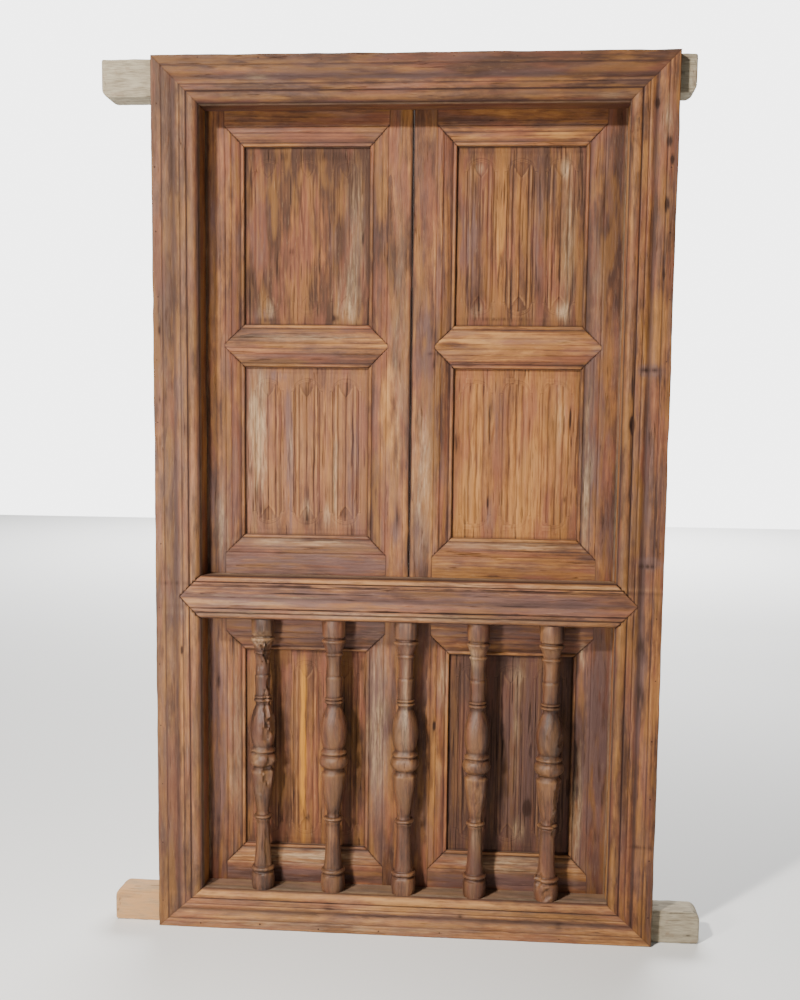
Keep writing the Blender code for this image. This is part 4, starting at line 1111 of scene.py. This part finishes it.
foldValues = {
    "margin": 0.022, "count": 3, "strip": 0.028, "archTop": 0.012, "archRise": 0.030,
    "cuspTip": 0.048, "cuspRise": 0.014, "cuspHalf": 0.34, "stripHigh": 0.7,
    "lineGaps": (1.2, 4.8), "lineWide": 1.0, "lineDeep": 0.7, "tabHigh": 1.3, "borderDeep": 0.12,
    "columnStep": 0.00155, "rowStep": 0.0056, "endStep": 0.0023, "endLength": 0.078,
}
panels = {
    # pattern, its height as a share, how worn, seed, then tone, film and dirt all over
    ("left", "upper"): {"pattern": "worn", "carving": 0.5, "wornAway": 0.75, "seed": 201,
                        "tone": -1.9, "bloom": -0.3},
    ("left", "middle"): {"pattern": "fold", "carving": 1.15, "wornAway": 0.45, "seed": 211,
                         "tone": 0.1, "bloom": 0.4},
    ("left", "lower"): {"pattern": "fold", "carving": 0.9, "wornAway": 0.25, "seed": 223,
                        "tone": -0.8, "bloom": 0.05},
    ("right", "upper"): {"pattern": "fold", "carving": 1.1, "wornAway": 0.5, "seed": 227, "tone": -0.7},
    ("right", "middle"): {"pattern": "reed", "carving": 1.0, "wornAway": 0.3, "seed": 233, "tone": 0.45},
    ("right", "lower"): {"pattern": "fold", "carving": 0.9, "wornAway": 0.30, "seed": 241,
                         "tone": -2.0, "bloom": 0.45, "soot": 0.34},
}
foldShapes = {
    # height in millimetres at places across half a fold group, from its middle to its edge
    "fold": ((0.0, -0.3), (0.05, 0.9), (0.30, 1.5), (0.46, 0.9), (0.55, -0.5), (0.62, 0.7), (0.74, 1.0),
             (0.82, -0.7), (0.87, 0.3), (0.93, -1.3), (1.0, 0.0)),
    "worn": ((0.0, 0.6), (0.20, -0.7), (0.45, 0.6), (0.62, -0.5), (0.80, 0.5), (0.92, -0.9), (1.0, 0.0)),
}


def foldHeight(x, z, low, high, bottom, top, values):
    # The panel's relief in millimetres at x and z. q counts across a fold group from -1 to 1.
    # A group ends under an arch, a quarter circle to each side, so the strips flare out there.
    group = foldValues
    span = (high - low - 2 * group["margin"] - (group["count"] - 1) * group["strip"]) / group["count"]
    toEnd = np.minimum(z - bottom, top - z) - group["margin"]
    atFoot = z - bottom < top - z
    height = group["stripHigh"] * smoothStep(toEnd, -12 * mm, 0.0)
    middles = low + group["margin"] + span / 2 + np.arange(group["count"]) * (span + group["strip"])
    for k, middle in enumerate(middles):
        off = x - middle - 0.8 * mm * softNoise(z / 0.07, 0 * z + k, values["seed"] + 3)
        q = off / (span / 2)
        away = np.abs(q)
        arch = group["archTop"] + quarterFall(1 - away, 1.0) * group["archRise"]
        inward = np.minimum((1 - away) * span / 2, 0.7 * (toEnd - arch))
        if values["pattern"] == "reed":
            # Round ridges: the root of the size of a sine.
            sway = 0.06 * softNoise(z / 0.05, q * 4, 77)
            body = 1.7 * np.abs(np.sin(2 * pi * (q + sway))) ** 0.7 - 1.0
            body = body * smoothStep(1 - away, 0.0, 0.05)
        else:
            # A pointed cut across each group, with the folds worn flat between it and the arch,
            # and at the foot a fine cut up the middle.
            cusp = group["cuspTip"] - group["cuspRise"] * away / group["cuspHalf"]
            near = smoothStep(group["cuspHalf"] + 0.1 - away, 0.0, 0.12)
            beyond = smoothStep(cusp - toEnd, 0.0, 4 * mm)
            body = np.interp(away, *zip(*foldShapes[values["pattern"]]))
            body = body * (1 - 0.75 * beyond) - 0.35 * beyond
            body = body - 1.4 * np.exp(-((toEnd - cusp) / (1.6 * mm)) ** 2) * near
            body = body - np.exp(-(off / (1.3 * mm)) ** 2) * (toEnd < group["cuspTip"]) * atFoot
        height += smoothStep(inward, 0.0, 1.6 * mm) * (body - group["stripHigh"]) * (inward > 0)
        # Two fine lines along the outside of each group and its arch.
        for gap in group["lineGaps"]:
            line = np.exp(-((inward / mm + gap) / group["lineWide"]) ** 2)
            height -= group["lineDeep"] * line * smoothStep(toEnd, 0.0, 6 * mm)
    if values["pattern"] == "reed":
        # Small square tabs at the groups' ends.
        for middle in middles:
            tab = (np.abs(x - middle + 0.25 * span) < 0.010) & (toEnd < 11 * mm) & (toEnd > -1 * mm)
            height = np.where(tab, group["tabHigh"], height)
    # A plain border with a shallow line round the carving.
    border = np.exp(-((toEnd + 9 * mm) / (1.0 * mm)) ** 2) * (values["pattern"] != "worn")
    worn = smoothStep(layeredNoise(x / 0.03, z / 0.09, values["seed"] + 11), -0.2, 0.7)
    height -= group["borderDeep"] * border
    return height * values["carving"] * (1 - worn * values["wornAway"])


def makePanel(label, position, values):
    # A grid over the front, dense at the carving's ends. It carries the relief where it shows
    # between stiles and rails, and is flat in their grooves. The back is one flat face.
    node, seed = f"{label}_panel_{position}", values["seed"]
    low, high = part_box(node)
    outer, inner = (0, 1) if label == "right" else (1, 0)
    sightLow, sightHigh = sorted((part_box(f"{label}_stile_meeting")[inner].x,
                                  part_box(f"{label}_stile_hanging")[outer].x))
    order = {"upper": 0, "middle": 1, "lower": 2}[position]
    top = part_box(f"{label}_rail_{railNames[order]}")[0].z
    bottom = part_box(f"{label}_rail_{railNames[order + 1]}")[1].z
    ground = leafLow.y + leafValues["grooveFront"] + 0.3 * mm
    columns = rowPlaces(low.x, high.x, foldValues["columnStep"], (sightLow, sightHigh))
    endLow, endHigh = bottom + foldValues["endLength"], top - foldValues["endLength"]
    rows = np.unique(np.concatenate([
        rowPlaces(low.z, endLow, foldValues["endStep"], (bottom,)),
        rowPlaces(endLow, endHigh, foldValues["rowStep"]),
        rowPlaces(endHigh, high.z, foldValues["endStep"], (top,))]))
    x, z = np.meshgrid(columns, rows)
    inside = np.minimum(np.minimum(x - sightLow, sightHigh - x), np.minimum(z - bottom, top - z))
    within = smoothStep(inside, 0.6 * mm, 2.5 * mm)
    marks = allMarks(x, z, node)
    waves = weatherNoise("panelSlow", z, x, seed) + weatherNoise("panelRidges", z, x, seed)
    crack = smoothStep(weatherNoise("panelCracks", z, x, seed), 0.42, 0.62) * crackDepth
    height = foldHeight(x, z, sightLow, sightHigh, bottom, top, values)
    depth = (waves + crack + marks["dent"] - height) * mm * within + smoothStep(inside, 0, 1 * mm) * mm
    depth = np.maximum(depth, -1.9 * mm * within) * (inside > 0)
    # Crests that stand over the wider ground are rubbed paler, hollows are darker with dirt and painted
    # shade. The wider crests get a painted highlight in their tone, and the wider hollows painted shade.
    proud = (blurRows(blurColumns(depth, 3), 2) - depth) / mm
    crestLightHollowShade = np.clip((blurColumns(depth, 8) - depth) / (1.2 * mm), -1, 1) * within
    grime = np.clip(-proud / 2.0, 0, 0.42) + 0.10 * np.clip(-crestLightHollowShade, 0, 1) + 0.4 * crack
    ages = {
        "wear": np.clip(proud / 1.3, 0, 0.6),
        # A band along the sight edges darkens the corners by the stiles and rails: dirt and painted
        # shade.
        "grime": grime + 0.38 * np.exp(-np.clip(inside, 0, None) / (3.0 * mm)) + marks["grime"]
        + values.get("soot", 0.0),
        "tone": 1.35 * (marks["tone"] + values.get("tone", 0.0) + 0.45 * crestLightHollowShade),
        "bloom": marks["bloom"] + values.get("bloom", 0.0),
        "pale": marks["pale"],
        "ochre": marks["ochre"],
        "raw": 0 * x,
    }
    shift = np.random.default_rng(seed).uniform([0, 0.02, 0.02], [40, 0.10, 0.08])
    y = ground + depth
    points = np.stack([x, y, z], axis=-1).reshape(-1, 3)
    grain = np.stack([z, x - (sightLow + sightHigh) / 2, y], axis=-1).reshape(-1, 3) + shift
    index = np.arange(x.size).reshape(x.shape)
    rim = np.concatenate([index[0, :-1], index[:-1, -1], index[-1, :0:-1], index[:0:-1, 0]])
    behind = x.size + np.arange(len(rim))
    ring = np.stack([rim, np.roll(rim, -1), np.roll(behind, -1), behind], axis=-1).tolist()
    faces = gridFaces(*x.shape, wrap=False, caps=False) + ring + [behind.tolist()]
    backPoints, backGrain = points[rim].copy(), grain[rim].copy()
    backPoints[:, 1], backGrain[:, 2] = high.y, high.y + shift[2]
    points, grain = np.vstack([points, backPoints]), np.vstack([grain, backGrain])
    for key in ages:
        ages[key] = np.append(ages[key], np.full(len(rim), 0.35 if key == "raw" else 0.0))
    name, body = f"{label}_{position}_panel", f"leaf_{label}"
    addPiece(name, body, node, "carved_pine", points, faces, grain, ages)


for (label, position), values in panels.items():
    makePanel(label, position, values)
print("the carved panels are made")


# Turned balusters

balusterMembers = (
    # length, then radius at the foot, in the middle and at the head of each member, millimetres
    (42, 26.5, 28.5, 27.0), (5, 23.5, 22.5, 23.5), (10, 26.0, 28.5, 26.0), (6, 22.5, 21.5, 22.0),
    (112, 21.0, 17.5, 16.5), (5, 18.5, 19.5, 18.5), (9, 20.0, 23.5, 20.0), (4, 16.5, 16.0, 15.5),
    (112, 14.5, 23.5, 28.5), (9, 23.5, 22.5, 24.0), (31, 28.0, 34.0, 29.5), (3, 26.5, 26.0, 26.5),
    (9, 28.0, 30.5, 27.5), (117, 24.0, 30.5, 16.5), (9, 18.0, 22.5, 18.0), (8, 17.5, 21.5, 17.5),
    (51, 18.0, 18.5, 19.5), (4, 17.0, 16.5, 17.0), (48, 17.5, 17.0, 18.5), (7, 20.0, 22.0, 20.0),
    (24, 18.5, 21.5, 25.0), (9, 26.0, 28.8, 26.5), (5, 22.5, 22.0, 22.5), (43, 26.0, 27.8, 27.2),
)
balusters = {
    # How much thicker than the drawn profile, how worn, and chips: height from the foot, angle in
    # degrees (0 front, 90 right), half height, half angle and depth in millimetres. Age marks
    # give their kind, then the same, with a strength in place of the depth.
    1: {"swell": 1.03, "wear": 2.4, "seed": 301, "tone": -0.4, "bloom": 0.2,
        "chips": ((0.632, 10, 0.018, 70, 7.0), (0.600, 60, 0.03, 55, 8.0), (0.575, -30, 0.02, 40, 4.0),
                  (0.40, 30, 0.03, 25, 6.0), (0.42, 75, 0.03, 30, 7.0), (0.34, -40, 0.02, 26, 5.0),
                  (0.30, 40, 0.04, 28, 7.0), (0.26, -10, 0.02, 20, 4.0), (0.46, 35, 0.05, 20, 5.0),
                  (0.52, 70, 0.02, 30, 5.0), (0.10, 50, 0.05, 30, 3.0)),
        "marks": (("pale", 0.63, -10, 0.016, 60, 1.0), ("grime", 0.60, 20, 0.02, 60, 0.6),
                  ("bloom", 0.48, 0, 0.06, 40, 0.6), ("pale", 0.34, -20, 0.03, 20, 0.6))},
    2: {"swell": 1.06, "wear": 0.7, "seed": 311, "tone": 0.1, "bloom": 0.1,
        "chips": ((0.2, 40, 0.01, 20, 2.0),),
        "marks": (("tone", 0.15, 0, 0.05, 60, 1.2), ("bloom", 0.48, 0, 0.06, 50, 0.6))},
    3: {"swell": 1.06, "wear": 1.0, "seed": 317, "bloom": 0.15, "worn": 0.80,
        "chips": ((0.40, -20, 0.02, 15, 2.5), (0.30, 25, 0.03, 15, 3.0)),
        "marks": (("pale", 0.48, 5, 0.12, 16, 0.9), ("tone", 0.56, 10, 0.06, 30, 0.8),
                  ("tone", 0.33, 0, 0.04, 40, 0.6))},
    4: {"swell": 1.02, "wear": 1.1, "seed": 331, "tone": -0.1, "bloom": 0.1,
        "chips": ((0.26, 20, 0.03, 24, 3.5), (0.28, -30, 0.02, 15, 2.5), (0.20, 30, 0.02, 20, 2.0)),
        "marks": (("pale", 0.60, -50, 0.03, 40, 1.0), ("tone", 0.60, 40, 0.03, 40, 1.4),
                  ("pale", 0.15, 0, 0.03, 40, 0.5), ("bloom", 0.47, 0, 0.05, 50, 0.6))},
    5: {"swell": 1.08, "wear": 1.3, "seed": 337, "bloom": 0.1,
        "chips": ((0.27, 65, 0.05, 34, 7.0), (0.19, 60, 0.03, 30, 5.0), (0.02, 0, 0.018, 22, 8.0),
                  (0.05, -50, 0.02, 20, 6.0), (0.40, 60, 0.015, 24, 5.0)),
        "marks": (("tone", 0.58, 10, 0.03, 40, 1.2), ("tone", 0.30, -10, 0.05, 40, 0.8),
                  ("pale", 0.20, 50, 0.06, 20, 0.8))},
}
balusterValues = {"sides": 40, "step": 3.2, "quirk": 0.05}


def balusterProfile():
    # Each member's radius is a parabola through its three radii; quirks join the members.
    heights, radii = [0.0], [balusterMembers[0][1]]
    start = 0.0
    for length, foot, middle, head in balusterMembers:
        count = max(4, round(length / balusterValues["step"]))
        share = np.linspace(0, 1, count + 1)
        bulge = middle - (foot + head) / 2
        quirk = length * balusterValues["quirk"]
        heights += (start + quirk + (length - 2 * quirk) * share).tolist()
        radii += (foot + (head - foot) * share + 4 * bulge * share * (1 - share)).tolist()
        start += length
    heights.append(start)
    radii.append(balusterMembers[-1][3])
    return np.array(heights) / start, np.array(radii) * mm


def makeBaluster(number, values):
    # A circle of the profile's radius at every height, less what is worn and chipped away.
    low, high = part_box(f"baluster_{number}")
    centreX, centreY, seed = (low.x + high.x) / 2, (low.y + high.y) / 2, values["seed"]
    share, radius = balusterProfile()
    radius = radius[:, None] * values["swell"]
    turn = np.arange(balusterValues["sides"]) * 2 * pi / balusterValues["sides"]
    turn, fromFoot = np.meshgrid(turn, share * (high.z - low.z))
    sine, cosine = np.sin(turn), np.cos(turn)

    def spot(height, at, halfHeight, halfAngle):
        # The squared distance on the surface, counted in half heights and half angles.
        away = (np.degrees(turn) - at + 180) % 360 - 180
        return ((fromFoot - height) / halfHeight) ** 2 + (away / halfAngle) ** 2

    wobble = (softNoise(sine * 3 + 40, fromFoot / 0.03, seed)
              + softNoise(cosine * 3 + 40, fromFoot / 0.03, seed + 1))
    fine = softNoise(sine * 9 + 40, fromFoot / 0.012, seed + 2)
    ragged = 1 + 0.5 * softNoise(turn * 6, fromFoot / 0.008, seed + 7)
    cuts = sum(deep * mm * smoothStep(1.15 - spot(*where) * ragged, 0.0, 0.9)
               for *where, deep in values["chips"])
    r = radius - (0.35 * np.abs(wobble) + 0.18 * np.abs(fine)) * values["wear"] * mm - cuts
    r = np.maximum(r, radius * 0.55)
    if "worn" in values:
        # Rubbed flat down the front.
        flatAt = values["worn"] * radius + 2.5 * mm
        r = np.where(cosine > 0.2, np.minimum(r, flatAt / np.maximum(cosine, 0.2)), r)
    x, y, z = centreX + r * sine, centreY - r * cosine, low.z + fromFoot
    # Rings that stand proud are rubbed paler; the quirks between them are darkened with dirt and painted
    # shade.
    proud = (r - blurRows(r, 3)) / mm
    ages = {"wear": np.clip(proud / 5.0, 0, 0.6) + 0.5 * smoothStep(cuts / mm, 0.8, 2.5),
            "grime": np.clip(-proud / 4.0, 0, 0.6), "pale": 0 * r,
            "tone": values.get("tone", 0.0) + 0 * r, "bloom": values["bloom"] + 0 * r}
    for kind, *where, strength in values["marks"]:
        ages[kind] = ages[kind] + strength * np.exp(-spot(*where))
    grain = np.stack([z + number * 3.3, x - centreX + 0.012, y - centreY + 0.015], axis=-1)
    addPiece(f"turned_baluster_{number}", "frame", f"baluster_{number}", "turned_pine",
             np.stack([x, y, z], axis=-1), gridFaces(*x.shape), grain, ages)


for number, values in balusters.items():
    makeBaluster(number, values)
print("the turned balusters are made")
